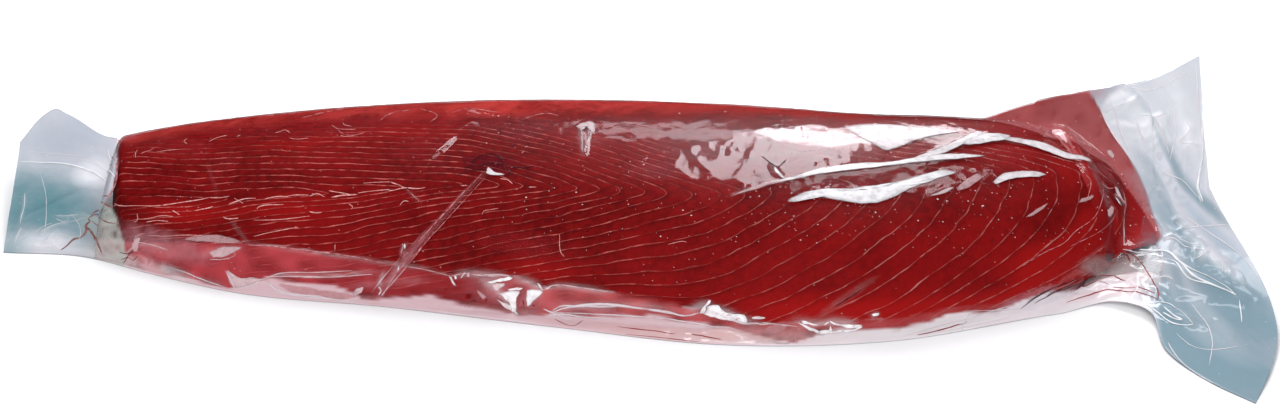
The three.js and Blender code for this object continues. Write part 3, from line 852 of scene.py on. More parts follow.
GLINT_LINES = (  # painted highlights: thin bright glint lines along the folds: [size, corners]
    (0.36, ((-95, 97), (-108, 76), (-125, 52), (-143, 31), (-149, 23))),
    (0.34, ((-93, 94), (-105, 75), (-122, 51), (-139, 30), (-146, 23), (-155, 7))),
    (0.3, ((-99, 90), (-114, 68), (-130, 46), (-146, 27))),
    (0.6, ((-141, 41), (-143, 36), (-143, 32))), (0.7, ((-157, 13), (-155, 11), (-157, 8))),
    (0.5, ((-238, 31), (-225, 32), (-202, 31), (-179, 30), (-152, 27))),
    (0.4, ((-142, 27), (-129, 27), (-112, 25))), (0.5, ((-252, 13), (-248, 8), (-246, 2))),
    (0.5, ((-225, 11), (-221, 6))), (0.4, ((-310, 22), (-312, 18), (-302, 19), (-289, 18))),
    (0.5, ((-320, 5), (-315, 12), (-310, 16))),
    (0.4, ((-259, 26), (-243, 25), (-251, 20), (-262, 18))),
    (0.6, ((-222, 5), (-200, 2), (-189, 3), (-163, 1))), (0.4, ((-142, 77), (-132, 69))),
    (0.6, ((-113, 25), (-105, 28), (-95, 28), (-79, 30))),
    (0.6, ((-58, 25), (-51, 30), (-37, 30), (-18, 30))),
    (0.6, ((-52, 14), (-46, 18), (-37, 19), (-13, 22))),
    (0.5, ((-57, 8), (-50, 13), (-29, 13), (-13, 15))), (0.5, ((-58, 14), (-48, 12), (-41, 8))),
    (0.6, ((44, 25), (57, 19), (67, 18))), (0.5, ((71, 19), (93, 15))),
    (0.4, ((54, 99), (70, 104), (83, 110))), (0.5, ((156, 4), (175, 8), (199, 10), (225, 13))),
    (0.4, ((171, 90), (177, 94), (187, 96), (187, 93), (175, 90))),
    (0.8, ((276, 84), (279, 80), (282, 78))), (0.5, ((270, 93), (274, 88), (278, 89))),
    (0.5, ((281, 92), (281, 79), (279, 64), (281, 51))),
    (0.4, ((288, 147), (299, 159), (310, 182))), (0.7, ((303, 157), (302, 146), (302, 137))),
    (0.6, ((306, 164), (317, 191), (328, 216))), (0.6, ((317, 191), (322, 189), (325, 182))),
    (0.6, ((341, 232), (345, 231), (333, 205), (351, 230))),
    (0.6, ((320, 92), (328, 111), (332, 121), (332, 113), (336, 117), (334, 105))),
    (0.4, ((299, 63), (318, 102), (331, 123))), (0.4, ((310, 98), (335, 147), (354, 176))),
    (0.5, ((297, 25), (308, 42))), (0.6, ((191, 0), (190, 4), (195, 12))),
    (0.4, ((167, 2), (197, 3), (221, 4))), (0.4, ((191, 14), (214, 11), (228, 10))),
    (0.4, ((197, 0), (220, 0), (243, 0))), (0.4, ((280, 49), (291, 44), (299, 57))),
    (0.3, ((-393, 62), (-391, 46), (-392, 28))), (0.3, ((-391, 25), (-392, 18), (-393, 10))),
    (0.24, ((-371, 37), (-364, 36), (-356, 39))), (0.24, ((-370, 34), (-365, 31), (-361, 33))),
    (0.24, ((-378, 20), (-369, 29), (-360, 31), (-351, 37))),
    (0.3, ((-384, 9), (-375, 4), (-365, 7))), (0.24, ((-371, 16), (-368, 7), (-360, 3))),
    (0.5, ((-330, 71), (-328, 65), (-327, 56), (-328, 50), (-332, 40))),
    (0.5, ((-345, 101), (-344, 94), (-330, 72))),
    (0.24, ((-365, 95), (-355, 90), (-344, 84), (-328, 62))),
    (0.3, ((-380, 0), (-373, 11), (-365, 20), (-356, 15))),
    (0.3, ((-384, 15), (-379, 25), (-372, 30))), (0.36, ((-376, 6), (-364, 6), (-360, 14))),
    (0.24, ((-398, 108), (-377, 101), (-356, 94))), (0.24, ((-387, 85), (-378, 52), (-375, 16))),
    (0.3, ((-394, 1), (-361, 0), (-328, 3))), (0.24, ((-362, 40), (-352, 28), (-351, 10))),
    (0.5, ((-216, 148), (-203, 156), (-188, 164))), (0.4, ((-191, 134), (-184, 124), (-174, 126))),
    (0.4, ((-252, 149), (-242, 155), (-229, 154))), (0.5, ((-163, 144), (-156, 156), (-145, 160))),
    (0.4, ((-139, 163), (-125, 155), (-131, 144))), (0.5, ((-118, 159), (-107, 168), (-88, 168))),
    (0.4, ((-74, 153), (-59, 166), (-50, 162))), (0.5, ((-24, 150), (-7, 161), (6, 156))),
    (0.5, ((293, 158), (291, 136), (293, 115))), (0.5, ((332, 237), (334, 213), (325, 177))),
    (0.5, ((300, 170), (319, 215), (347, 278))), (0.6, ((351, 288), (352, 256), (351, 222))),
    (0.5, ((312, 144), (338, 188), (344, 178))),
    (0.5, ((319, 128), (337, 145), (350, 147), (353, 126))),
    (0.5, ((300, 63), (326, 113), (341, 124))), (0.4, ((319, 18), (330, 19), (341, 46))),
    (0.4, ((320, 53), (331, 45), (335, 12))), (0.5, ((318, 6), (328, 0), (339, 0))),
    (1.0, ((-52, 13), (-42, 18), (-21, 23), (-2, 23), (16, 23), (27, 21), (35, 24))),
    (0.6, ((-228, 13), (-208, 15), (-184, 16), (-160, 20))),
    (0.5, ((-250, 2), (-237, 6), (-225, 13), (-215, 17), (-196, 18), (-172, 21))),
    (0.7, ((-228, 11), (-217, 4), (-193, 4), (-171, 0))),
    (0.5, ((-155, 1), (-123, 1), (-83, 1), (-51, 1))), (0.45, ((-123, 51), (-141, 25), (-156, 7))),
    (0.3, ((-128, 51), (-146, 29), (-162, 8))), (0.4, ((-289, 8), (-276, 7), (-250, 2))),
    (0.5, ((-52, 13), (7, 19), (35, 18), (63, 12))),
    (0.3, ((271, 88), (270, 79), (267, 66), (258, 57), (253, 48), (240, 41), (228, 35))),
    (0.3, ((276, 71), (274, 64), (267, 55), (256, 47))),
)
BROWNS = (  # brown dried runs under the film: [width, corners]
    (1.2, ((-328, 49), (-332, 41), (-344, 48), (-349, 36))),
    (1, ((-325, 38), (-330, 35), (-343, 43), (-348, 38))),
    (1.5, ((-349, 36), (-347, 34), (-350, 30), (-348, 26), (-350, 17), (-355, 15), (-358, 8),
      (-362, 4))),
    (1.7, ((-348, 28), (-343, 22), (-337, 11), (-334, 6))),
    (0.7, ((-347, 35), (-333, 25), (-324, 26))),
    (0.8, ((-320, 2), (-315, 10), (-309, 15))),
)
STREAKS = (  # runs of juice: [size, corners]
    (1.3, ((283, 48), (291, 35), (298, 24), (303, 18), (303, 13))),
    (1.6, ((303, 13), (291, 10), (282, 12), (274, 13), (267, 11), (255, 9))),
    (1, ((301, 16), (288, 14), (280, 15))),
    (1.2, ((258, 26), (266, 31), (276, 28), (286, 20))),
    (1, ((262, 21), (270, 25), (278, 17))),
    (2, ((276, 42), (281, 49), (285, 37))),
    (1.4, ((163, 3), (176, 4), (194, 8))),
    (1.4, ((-14, 7), (1, 7), (21, 6))),
    (1, ((-9, 1), (14, 2), (35, 1))),
    (1, ((30, 7), (38, 6), (48, 4))),
    (0.8, ((-51, 8), (-40, 1), (-34, 10))),
)
CREASE_SHADES = (  # painted shade: black strips laid in the film's creases: [width, corners]
    (0.5, ((227, 10), (244, 19), (259, 27))), (0.45, ((236, 12), (250, 19), (261, 25))),
    (0.4, ((243, 16), (254, 22), (263, 28))), (0.4, ((231, 13), (241, 18), (250, 22))),
    (0.35, ((-321, 5), (-316, 8), (-313, 6), (-309, 10))),
    (0.35, ((-322, 9), (-317, 9), (-313, 11))),
    (0.6, ((-103, 101), (-102, 107), (-95, 113), (-88, 114), (-83, 109))),
    (0.5, ((-83, 109), (-84, 104), (-77, 99), (-82, 96))),
    (0.6, ((-107, 98), (-103, 101), (-97, 102), (-92, 106), (-84, 105))),
    (0.5, ((-112, 92), (-105, 97), (-95, 100))), (0.7, ((-79, 104), (-70, 104), (-64, 107))),
    (0.4, ((114, 24), (121, 27.5), (130, 33))), (0.8, ((73.5, 132), (78, 126), (82.7, 120.3))),
    (0.7, ((88, 128), (85, 124), (82.7, 120))),
)
TISSUES = (  # thick pale tissue on the flesh: [width, corners]
    (0.5, ((-327, 39), (-323, 38), (-311, 42), (-301, 44))),
    (0.65, ((-306, 43), (-301, 44), (-295, 46))),
    (0.85, ((-295, 46), (-290, 48), (-283, 51), (-273, 55), (-265, 59))),
    (0.6, ((-265, 59), (-259, 60), (-252, 63))),
    (0.95, ((-252, 57), (-247, 60), (-242, 63), (-235, 64))),
    (0.6, ((-249, 62), (-245, 60), (-243, 59))), (0.7, ((-230, 64), (-222, 67), (-215, 67))),
    (0.8, ((-217, 67), (-210, 69), (-202, 69))), (0.7, ((-202, 68), (-197, 71), (-192, 68))),
    (0.95, ((-188, 68), (-181, 70), (-172, 71))), (0.7, ((-190, 73), (-184, 72), (-177, 71))),
    (0.7, ((-172, 72), (-162, 75), (-152, 77))), (0.65, ((-153, 76), (-145, 77), (-141, 78))),
    (0.7, ((-141, 78), (-135, 79), (-130, 81))), (0.7, ((-152, 83), (-147, 81), (-143, 77))),
    (0.5, ((-169, 80), (-160, 82), (-152, 83))),
    (0.7, ((-274, 47), (-270, 49), (-265, 51), (-262, 53))),
    (0.6, ((-234, 56), (-233, 58), (-228, 60), (-217, 61))),
    (0.7, ((-201, 57), (-197, 56), (-193, 57))), (0.6, ((-255, 47), (-252, 46), (-245, 48))),
    (0.6, ((-288, 44), (-285, 43), (-283, 42))),
    (0.6, ((-309, 33), (-303, 35), (-295, 39), (-287, 40))),
    (0.5, ((-311, 36), (-310, 32), (-313, 30))), (0.5, ((-305, 32), (-298, 35), (-290, 36))),
    (0.45, ((-95, 66), (-94, 69), (-91, 70), (-85, 72))), (0.4, ((-48, 61), (-48, 50), (-45, 47))),
    (0.45, ((-145, 65), (-143, 69), (-140, 69))), (0.6, ((-177, 64), (-174, 62), (-175, 60))),
    (0.7, ((-109, 85), (-104, 86))), (0.6, ((-68, 90), (-62, 91))),
    (0.6, ((-85, 94), (-80, 94), (-77, 91))), (0.5, ((-318, 81), (-319, 86), (-318, 90))),
    (0.6, ((-315, 86), (-313, 89), (-310, 91), (-307, 95))),
    (0.6, ((-287, 112), (-289, 108), (-286, 105))), (0.75, ((-272, 111), (-268, 117), (-261, 122))),
    (0.85, ((-255, 121), (-252, 124))), (0.6, ((-230, 129), (-226, 131), (-224, 134), (-220, 129))),
    (0.6, ((-194, 139), (-190, 134), (-184, 133), (-178, 133))),
    (0.6, ((-187, 142), (-186, 139), (-181, 137))),
    (0.6, ((-187, 126), (-184, 124), (-177, 126), (-172, 129))),
    (0.6, ((-220, 123), (-215, 121), (-207, 123))),
    (0.5, ((-305, 91), (-301, 93), (-297, 95), (-286, 99))),
    (0.6, ((-277, 25), (-278, 23), (-280, 20))), (0.7, ((-262, 28), (-254, 30), (-241, 32))),
    (0.6, ((-260, 33), (-256, 34))), (0.5, ((-303, 24), (-291, 26), (-282, 29), (-267, 32))),
    (0.5, ((-184, 37), (-184, 32))), (0.5, ((-236, 48), (-219, 50), (-200, 54))),
    (0.5, ((-235, 37), (-225, 41), (-207, 46))),
    (0.25, ((264, 98), (266, 93), (265, 86), (263, 77))), (0.4, ((16, 63), (26, 67), (29, 64))),
    (0.4, ((-25, 29), (-11, 37), (0, 42))),
)

PATCHES = (  # soft hazes in the film, among them painted sheen and painted glints: [along, across, half along, half across, turn, cover, colour]
    (-302, 100, 34, 16, 0, 0.048, PINK),
    (-242, 129, 50, 12, 0, 0.056, PINK),
    (-185, 139, 40, 16, 0, 0.072, PINK),
    (-129, 150, 60, 12, 0, 0.048, PINK),
    (-137, 110, 12, 26, 10, 0.04, PINK),
    (-124, 111, 7, 24, 0, 0.04, PINK),
    (-258, 90, 8, 16, 20, 0.04, PINK),
    # painted sheen: the faint lilac and white rows at across 115 to 160 mm stand for soft reflections
    # on the top of the loin
    (-79, 147, 36, 18, 0, 0.012, LILAC),
    (-59, 139, 24, 16, 0, 0.048, PINK),
    (-93, 105, 16, 9, 0, 0.14, BROWN),
    (-79, 100, 10, 5, 20, 0.1, BROWN),
    (-63, 107, 18, 10, 0, 0.06, BROWN),
    (-70, 51, 30, 8, 0, 0.06, PINK),
    # painted sheen: faint lilac and white over the top of the loin
    (-4, 154, 26, 14, 0, 0.02, LILAC),
    (26, 139, 26, 18, 10, 0.02, LILAC),
    (52, 147, 30, 20, 0, 0.02, LILAC),
    (35, 156, 30, 14, 0, 0.02, WHITE),
    (9, 115, 20, 8, -10, 0.02, LILAC),
    (69, 120, 22, 10, -15, 0.02, LILAC),
    (-10, 139, 14, 16, 0, 0.04, PINK),
    (99, 139, 34, 18, 0, 0.02, WHITE),
    (136, 136, 28, 16, 0, 0.02, WHITE),
    (156, 145, 24, 14, 0, 0.02, WHITE),
    (-30, 145, 14, 18, 0, 0.02, LILAC),
    (247, 152, 26, 10, -20, 0.072, PINK),
    (285, 162, 8, 6, 0, 0.16, PINK),
    (311, 172, 20, 26, 0, 0.15, WHITE),
    # painted glints: the narrow white rows here draw a bright star on the clear thick end
    (314, 176, 40, 2.6, -71, 0.5, WHITE),
    (297, 164, 17, 1.8, -55, 0.45, WHITE),
    (296, 143, 8, 2.6, -25, 0.45, WHITE),
    (321, 184, 9, 2.4, 50, 0.4, WHITE),
    (345, 231, 4, 12, 20, 0.4, WHITE),
    (335, 242, 26, 24, 0, 0.12, WHITE),
    (345, 231, 14, 22, 0, 0.17, WHITE),
    (334, 180, 26, 12, 10, 0.76, SLATE),
    (304, 117, 12, 10, 20, 0.48, SLATE),
    (345, 181, 8, 14, 0, 0.55, SLATE),
    (318, 92, 30, 16, 20, 0.83, SLATE),
    (338, 104, 26, 14, 30, 0.76, SLATE),
    (305, 80, 16, 10, 30, 0.62, SLATE),
    (343, 79, 26, 26, 0, 0.95, SLATE),
    (345, 24, 40, 40, 0, 0.95, SLATE),
    (330, 14, 30, 26, 20, 0.95, SLATE),
    (314, 15, 22, 20, 30, 0.83, SLATE),
    (332, 63, 20, 20, 0, 0.62, SLATE),
    (315, 48, 26, 12, 20, 0.55, SLATE),
    (327, 55, 18, 10, 40, 0.12, WHITE),
    (333, 36, 16, 12, 0, 0.1, WHITE),
    (338, 149, 20, 18, 30, 0.35, BLUE),
    (347, 132, 12, 30, -30, 0.4, BLUE),
    (332, 113, 12, 8, 0, 0.3, WHITE),
    (275, 37, 14, 7, -10, 0.5, GREY),
    (288, 26, 16, 8, 10, 0.35, GREY),
    (244, 13, 40, 8, -10, 0.23, LILAC),
    (285, 0, 30, 8, 0, 0.25, WHITE),
    (275, 12, 26, 6, -5, 0.15, PINK),
    # painted reflection: the raised upper flap at the tail end made paler and greyer, for the bright
    # room mirrored in it
    (-372, 118, 46, 28, 0, 0.6, FLAP_REFLECTION),
    (-388, 66, 26, 26, 0, 0.7, TEAL),
    (-380, 40, 34, 26, 0, 0.85, TEAL),
    (-366, 52, 24, 22, 0, 0.6, TEAL),
    (-397, 45, 7, 52, 0, 0.6, TEAL),
    (-392, 6, 12, 12, 0, 0.6, TEAL),
    (-372, 10, 30, 13, 0, 0.35, WHITE),
    (-352, 80, 14, 14, 20, 0.45, WHITE),
    (-350, 28, 14, 22, 0, 0.5, TEAL),
    (-334, 10, 14, 10, 0, 0.45, CREAM),
    (-125, 52, 54, 1.5, -56, 0.22, PINK),
    (-256, 24, 15, 3.4, -20, 0.5, HAZED),
    (-142, 29, 30, 2.3, -56, 0.4, HAZED),
    (121, 29, 20, 2.6, -31, 0.12, GREY),
    (-150, 16, 26, 3, -12, 0.25, HAZED),
    (-66, 18, 9, 9, 0, 0.35, HAZED),
    (-88, 20, 16, 9, 0, 0.3, HAZED),
    (-30, 17, 26, 4, 0, 0.3, HAZED),
    (20, 8, 44, 8, 0, 0.4, PALE_ROSE),
    (62, 10, 26, 7, 0, 0.4, PALE_ROSE),
    (88, 10, 14, 8, 0, 0.35, PALE_ROSE),
    (-333, 20, 10, 16, 0, 0.25, CREAM),
    (-304, 6.5, 17, 4.5, 22, 0.7, FOLD_LEFT),
    (350, 110, 8, 30, 0, 0.6, SLATE),
    (-91, 106, 15, 8, 0, 0.35, BROWN),
    (-312, 4, 40, 6, 0, 0.35, WHITE),
    (-300, 20, 40, 10, 0, 0.35, HAZED),
    (8, 5, 56, 6, 0, 0.4, TAWNY),
    (60, 6, 30, 5, 0, 0.3, TAWNY),
)

VEILS = (  # hazes with one sharp edge, among them a painted sheen and a painted shade: [reach mm, cover, even, colour, corners]
    # painted sheen: a faint pale veil over the top of the loin
    (16, 0.03, False, (0.88, 0.84, 0.88), ((30, 126), (60, 122), (85, 128), (128, 139), (152, 137))),
    (22, 0.75, False, CREAM,
     ((-319, 0), (-318, 8), (-318.5, 14), (-321, 22), (-325, 31), (-330, 36), (-338, 38))),
    # painted shade: a dark band along the lower edge of the flesh, where it meets the pale hem
    (5, 0.5, False, (0.26, 0.05, 0.045), ((-101, 10), (-92, 8.8), (-86, 8.2), (-79, 7.6), (-73, 6))),
    (110, 0.5, True, ROSE,
     ((186, 177), (205, 170), (225, 162), (243, 149), (258, 134), (270, 121), (279, 108), (284, 95))),
)


def rounded_off(stroke, times=2):
    """Cuts a stroke's corners until it bends smoothly."""
    line = np.array(stroke, float)
    for _ in range(times if len(line) > 2 else 0):
        before, after = line[:-1], line[1:]
        cut = np.stack((before * 0.75 + after * 0.25, before * 0.25 + after * 0.75), 1)
        line = np.concatenate((line[:1], cut.reshape(-1, 2), line[-1:]))
    return line


def spot(x, across, centre_x, centre_across, half_x, half_across, turn):
    """A soft oval, 1 at its centre and 0 outside it."""
    angle = math.radians(turn)
    right, up = x - centre_x, across - centre_across
    u = (right * math.cos(angle) - up * math.sin(angle)) / half_x
    v = (right * math.sin(angle) + up * math.cos(angle)) / half_across
    return np.clip(1.35 - 1.1 * np.hypot(u, v), 0, 1)


def veil(along, across, stroke, reach):
    """A haze that starts sharply at a stroke and fades to its left over a reach in mm."""
    line = rounded_off(stroke)
    best = np.full(along.shape, np.inf)
    signed = np.zeros(along.shape)
    for start, stop in zip(line[:-1], line[1:]):
        side = stop - start
        length = np.hypot(*side)
        u, v = along - start[0], across - start[1]
        t = (u * side[0] + v * side[1]) / length**2
        away = np.hypot(u - np.clip(t, 0, 1) * side[0], v - np.clip(t, 0, 1) * side[1])
        left = np.sign(side[0] * v - side[1] * u)
        closer = away < best
        best = np.where(closer, away, best)
        signed = np.where(closer, away * left, signed)
    ends = np.hypot(*(line[-1] - line[0])) * 0.5
    middle = line.mean(0)
    fade = np.clip(1.25 - np.hypot(along - middle[0], across - middle[1]) / (ends + reach), 0, 1)
    return ease(-1.2, 0.6, signed) * np.clip(1 - signed / reach, 0, 1) * np.minimum(1, 2.5 * fade)


def raised_film(sheet):
    """The top sheet with its wrinkles and creases, and how much white is painted along each crease as a
    highlight.
    """
    points = sheet.points
    over = sheet.over
    along = np.repeat(sheet.alongs[:, None], points.shape[1], 1)
    share = sheet.across / sheet.across[:, -1:]
    front, back = through(FRONT_EDGE, 2, along), through(BACK_EDGE, 2, along)
    start = straight(RIGHT_END, (points[..., 1] - front) / (back - front))
    stop = straight(LEFT_END, sheet.across)
    ends = np.maximum(ease(start - 2.4, start - 0.6, along), ease(stop + 0.8, stop - 0.8, along))
    hem = np.clip(np.minimum(share, 1 - share) * 14, 0, 1)
    flat = points.reshape(-1, 3)
    rise = 0.22 * cloud(flat * LONG_WAVES, size=14, seed=21) + 0.10 * cloud(flat, size=5, seed=22)
    loose = (1.6 * (creased(flat, size=19, seed=31) - 0.2)).reshape(over.shape)
    broad = 0.5 * cloud(flat, size=48, seed=35) + 0.35 * creased(flat, size=40, seed=36)
    broad = broad.reshape(over.shape)
    rise = (rise.reshape(over.shape) + (1 - over) * mix(loose, broad, ends)).ravel()
    for centre, across, half_along, half_across, turn, height, size in RUFFLES:
        place = spot(along, sheet.across, centre, across, half_along, half_across, turn).ravel()
        near = np.nonzero(place)[0]
        rise[near] += height * place[near] * (creased(flat[near], size, seed=71) - 0.3)
    haze = np.zeros(rise.shape)
    for height, half, white, stroke in RIDGES:
        line, _ = sheet.line(rounded_off(stroke))
        index, away, t = nearest(flat, line, 3.2 * half)
        ends_off = np.minimum(1, 4 * np.minimum(t, 1 - t) + 0.15)
        rise[index] += height * np.exp(-1.3 * away / half) * ends_off
        body = np.exp(-((away / half / 0.7) ** 2)) * ends_off
        haze[index] = np.maximum(haze[index], RIDGE_HAZE * white * body)
    rise = np.maximum(rise.reshape(over.shape), -0.35 - 9 * over) * hem  # least sag off the flesh
    shaped = points + sheet.normals * rise[..., None]
    shaped[..., 2] = np.maximum(shaped[..., 2], 0.2)
    return shaped, haze.reshape(over.shape), ends


@functools.lru_cache(maxsize=1)
def make_sheet():
    """The bag's top sheet; its pieces lie on the creased surface."""
    sheet = Sheet(spread(FILM_STRETCHES), FILM_COLUMNS)
    sheet.surface = raised_film(sheet)[0]
    return sheet


def laid_over(colour, cover, hue, amount):
    """The film's colour and cover with an amount of another colour laid over them."""
    total = amount + cover * (1 - amount) + 1e-6
    return mix(colour, np.array(hue), (amount / total)[..., None]), total


def film_tint(sheet, haze, ends):
    """The film's colour and, as its alpha, how much it hides at each point of the sheet."""
    flat = sheet.points.reshape(-1, 3)
    shape = sheet.over.shape
    along = np.repeat(sheet.alongs[:, None], shape[1], 1)
    wispy = 0.9 * creased(flat * LONG_WISPS, size=15, seed=51) + 0.6 * creased(flat, size=6, seed=52)
    wispy = (wispy + 0.2 * cloud(flat, size=3, seed=53)).reshape(shape)
    rough = mix(0.35 + wispy, 1.0, 0.75 * ends)
    waver = 1.2 * cloud(flat, size=17, seed=54).reshape(shape)
    cloudy = 0.7 + 0.5 * cloud(flat * LONG_WISPS, size=9, seed=56).reshape(shape)

    pale = ease(1.2, -0.4, sheet.across + waver - straight(PALE_EDGE, along))
    fold = ease(0.8, -0.8, sheet.across + 0.4 * waver - straight(FRONT_EDGE_OF_FOLD, along))
    layer = fold * np.clip(cloudy, 0.2, 1) * straight(FOLD_COVER, along)
    middle = ease(-110, -60, along)[..., None]
    hem = mix(np.array(HEM_LEFT), np.array(HEM_RIGHT), ease(-60, 170, along)[..., None])
    colour = mix(mix(np.array(FOLD_LEFT), np.array(FOLD_MIDDLE), middle), hem, pale[..., None])
    cover = mix(layer, HEM_COVER, pale) * (1 - ends)
    behind = ease(-3, 24, sheet.across + 4 * waver - straight(BACK_HAZE, along))
    behind = behind * ease(228, 175, along) * np.clip(0.35 + 0.8 * wispy, 0.1, 1) * (1 - ends)
    colour = mix(colour, np.array(BACK_COLOUR), ease(0, 0.2, behind)[..., None])
    cover = np.maximum(cover, BACK_COVER * behind)
    colour = mix(colour, np.array(ENDS_COLOUR), ends[..., None])
    cover = cover + ENDS_COVER * ends

    for centre, across, half_along, half_across, turn, strength, hue in PATCHES:
        amount = spot(along, sheet.across, centre, across, half_along, half_across, turn)
        amount = np.clip(amount * rough, 0, 1) * strength
        colour, cover = laid_over(colour, cover, hue, amount)
    for reach, strength, even, hue, stroke in VEILS:
        amount = np.clip(veil(along, sheet.across, stroke, reach) * rough, 0, 1) * strength
        if even:
            amount = 0.7 * np.sqrt(amount * strength) * (1 - ends)
        colour, cover = laid_over(colour, cover, hue, amount)
    # the white painted along the creases as highlights
    colour, cover = laid_over(colour, cover, WHITE, haze)
    return np.concatenate((colour, cover[..., None]), -1)


def build_film(sheet):
    """The bag, as a top sheet and an underside joined along both long edges."""
    rows = len(sheet.alongs) - 1
    under, _ = rulings(sheet.alongs, "underside", FILM_UNDER_COLUMNS)
    shaped, haze, empty = raised_film(sheet)
    tint = film_tint(sheet, haze, empty)
    top, row, column = add_grid(rows, FILM_COLUMNS)
    low, low_row, low_column = add_grid(rows, FILM_UNDER_COLUMNS)
    move_corners(top, shaped[row, column])
    move_corners(low, under[low_row, low_column])
    paint(top, "tint", tint[row, column])
    paint(low, "tint", np.full((len(low_row), 4), (*ENDS_COLOUR, UNDERSIDE_COVER)))
    piece = join_up((top, low))
    bridge(piece, np.concatenate((column == 0, low_column == 0)))
    bridge(piece, np.concatenate((column == FILM_COLUMNS, low_column == FILM_UNDER_COLUMNS)))
    close_up(piece)
    return piece


# ---- strips, pools and drops ----

ROUND = 6  # corners round a strip
STRIP_STEP = 1.6  # mm
SWELL, SWELL_STEPS = 0.35, 3  # how much a strip's width varies, and over how many steps


def add_strips(sheet, strips, scale, lift, flatness, seed, grid=None):
    """One piece of closed strips along strokes, each given as [size, corners].

    Half a strip's width is scale times its size, and flatness times that is half its height. It
    lies lift mm above the grid, or above the creased film if no grid is given.
    """
    grid = sheet.surface if grid is None else grid
    rng = np.random.default_rng(seed)
    made = []
    for size, stroke in strips:
        line, normal = sheet.line(rounded_off(stroke), STRIP_STEP, grid)
        line = line + normal * lift
        ahead = np.gradient(line, axis=0)
        ahead /= np.maximum(np.linalg.norm(ahead, axis=1, keepdims=True), 1e-9)
        side = np.cross(ahead, normal)
        rows = len(line) - 1
        t = np.linspace(0, 1, rows + 1)
        uneven = rng.uniform(-1, 1, rows + 3)
        swell = 1 + SWELL * np.interp(t * rows / SWELL_STEPS, np.arange(rows + 3), uneven)
        width = size * scale * np.sqrt(np.clip(4 * np.minimum(t, 1 - t) + 0.04, 0, 1)) * swell
        width[0] = width[-1] = 0
        piece, row, column = add_grid(rows, ROUND)
        turn = 2 * np.pi * (column % ROUND) / ROUND
        sideways = width[row, None] * side[row] * np.cos(turn)[:, None]
        upward = flatness * width[row, None] * normal[row] * np.sin(turn)[:, None]
        move_corners(piece, line[row] + sideways + upward)
        flesh = flesh_height(line[:, 0], line[:, 1])
        pale = np.maximum(1 - ease(*OVER_FLESH, flesh), ease(3, 7, line[:, 2] - flesh))
        paint(piece, "pale", np.maximum(pale, 0.5 * ease(28, 14, line[:, 2]))[row])
        made.append(piece)
    piece = join_up(made)
    close_up(piece)
    return piece


HIGHLIGHT_RINGS = (0, 0.5, 0.8, 0.94, 0.99, 1)
HIGHLIGHT_FADE = (1, 1, 0.92, 0.5, 0.05, 0)  # how solid a painted highlight is at each ring
HIGHLIGHT_LIFT, HIGHLIGHT_BULGE = 0.3, 0.05  # mm
HIGHLIGHT_CUTS = (0.14, 0.25)  # how much of each side goes when the corners are cut


def add_highlight_lenses(sheet, facets):
    """One piece of painted highlights, thin flat lenses lying on the film, each given as [paleness,
    corners].
    """
    made = []
    for pale, corners in facets:
        rim = np.array(corners)
        for cut in HIGHLIGHT_CUTS:
            after = np.roll(rim, -1, 0)
            rim = np.stack((mix(rim, after, cut), mix(rim, after, 1 - cut)), 1).reshape(-1, 2)
        uneven = min(0.6, 0.05 * np.hypot(*np.ptp(rim, axis=0)))
        at = np.stack((*rim.T, rim[:, 0] * 0), -1)
        rim = rim + uneven * np.stack((cloud(at, size=3, seed=91), cloud(at, size=3, seed=92)), -1)
        rows = 2 * len(HIGHLIGHT_RINGS) - 2
        piece, row, column = add_grid(rows, len(rim))
        ring = np.array(HIGHLIGHT_RINGS + HIGHLIGHT_RINGS[-2::-1])[row]
        side = np.where(row < len(HIGHLIGHT_RINGS), 1, -1)
        place = mix(rim.mean(0), rim[column % len(rim)], ring[:, None])
        normal = sheet.at(place[:, 0], place[:, 1], sheet.normals)
        lift = HIGHLIGHT_LIFT + HIGHLIGHT_BULGE * side * (1 - ring**2)
        film = sheet.at(place[:, 0], place[:, 1], sheet.surface)
        move_corners(piece, film + normal * lift[:, None])
        paint(piece, "pale", np.full(len(row), float(pale)))
        paint(piece, "fade", np.interp(ring, HIGHLIGHT_RINGS, HIGHLIGHT_FADE))
        # painted shade: each highlight is made darker where it faces up, where the lamps light it most
        paint(piece, "shade", 1 - 0.22 * ease(0.3, 0.95, normal[:, 2]))
        made.append(piece)
    piece = join_up(made)
    close_up(piece)
    return piece


POOL_STEPS, POOL_ACROSS = 110, 150
POOL_FROM = 120
POOL_DEEP = 60  # how far in from its edge the juice is at its deepest, mm
POOL_EDGE = (  # the outline of the juice at the thick end: [across share, along]
    (0.06, 227), (0.11, 251), (0.26, 270.6), (0.335, 284), (0.36, 296), (0.40, 299),
    (0.52, 295.5), (0.63, 294.3), (0.76, 291.3), (0.86, 287.5), (0.94, 286), (1.0, 284),
)


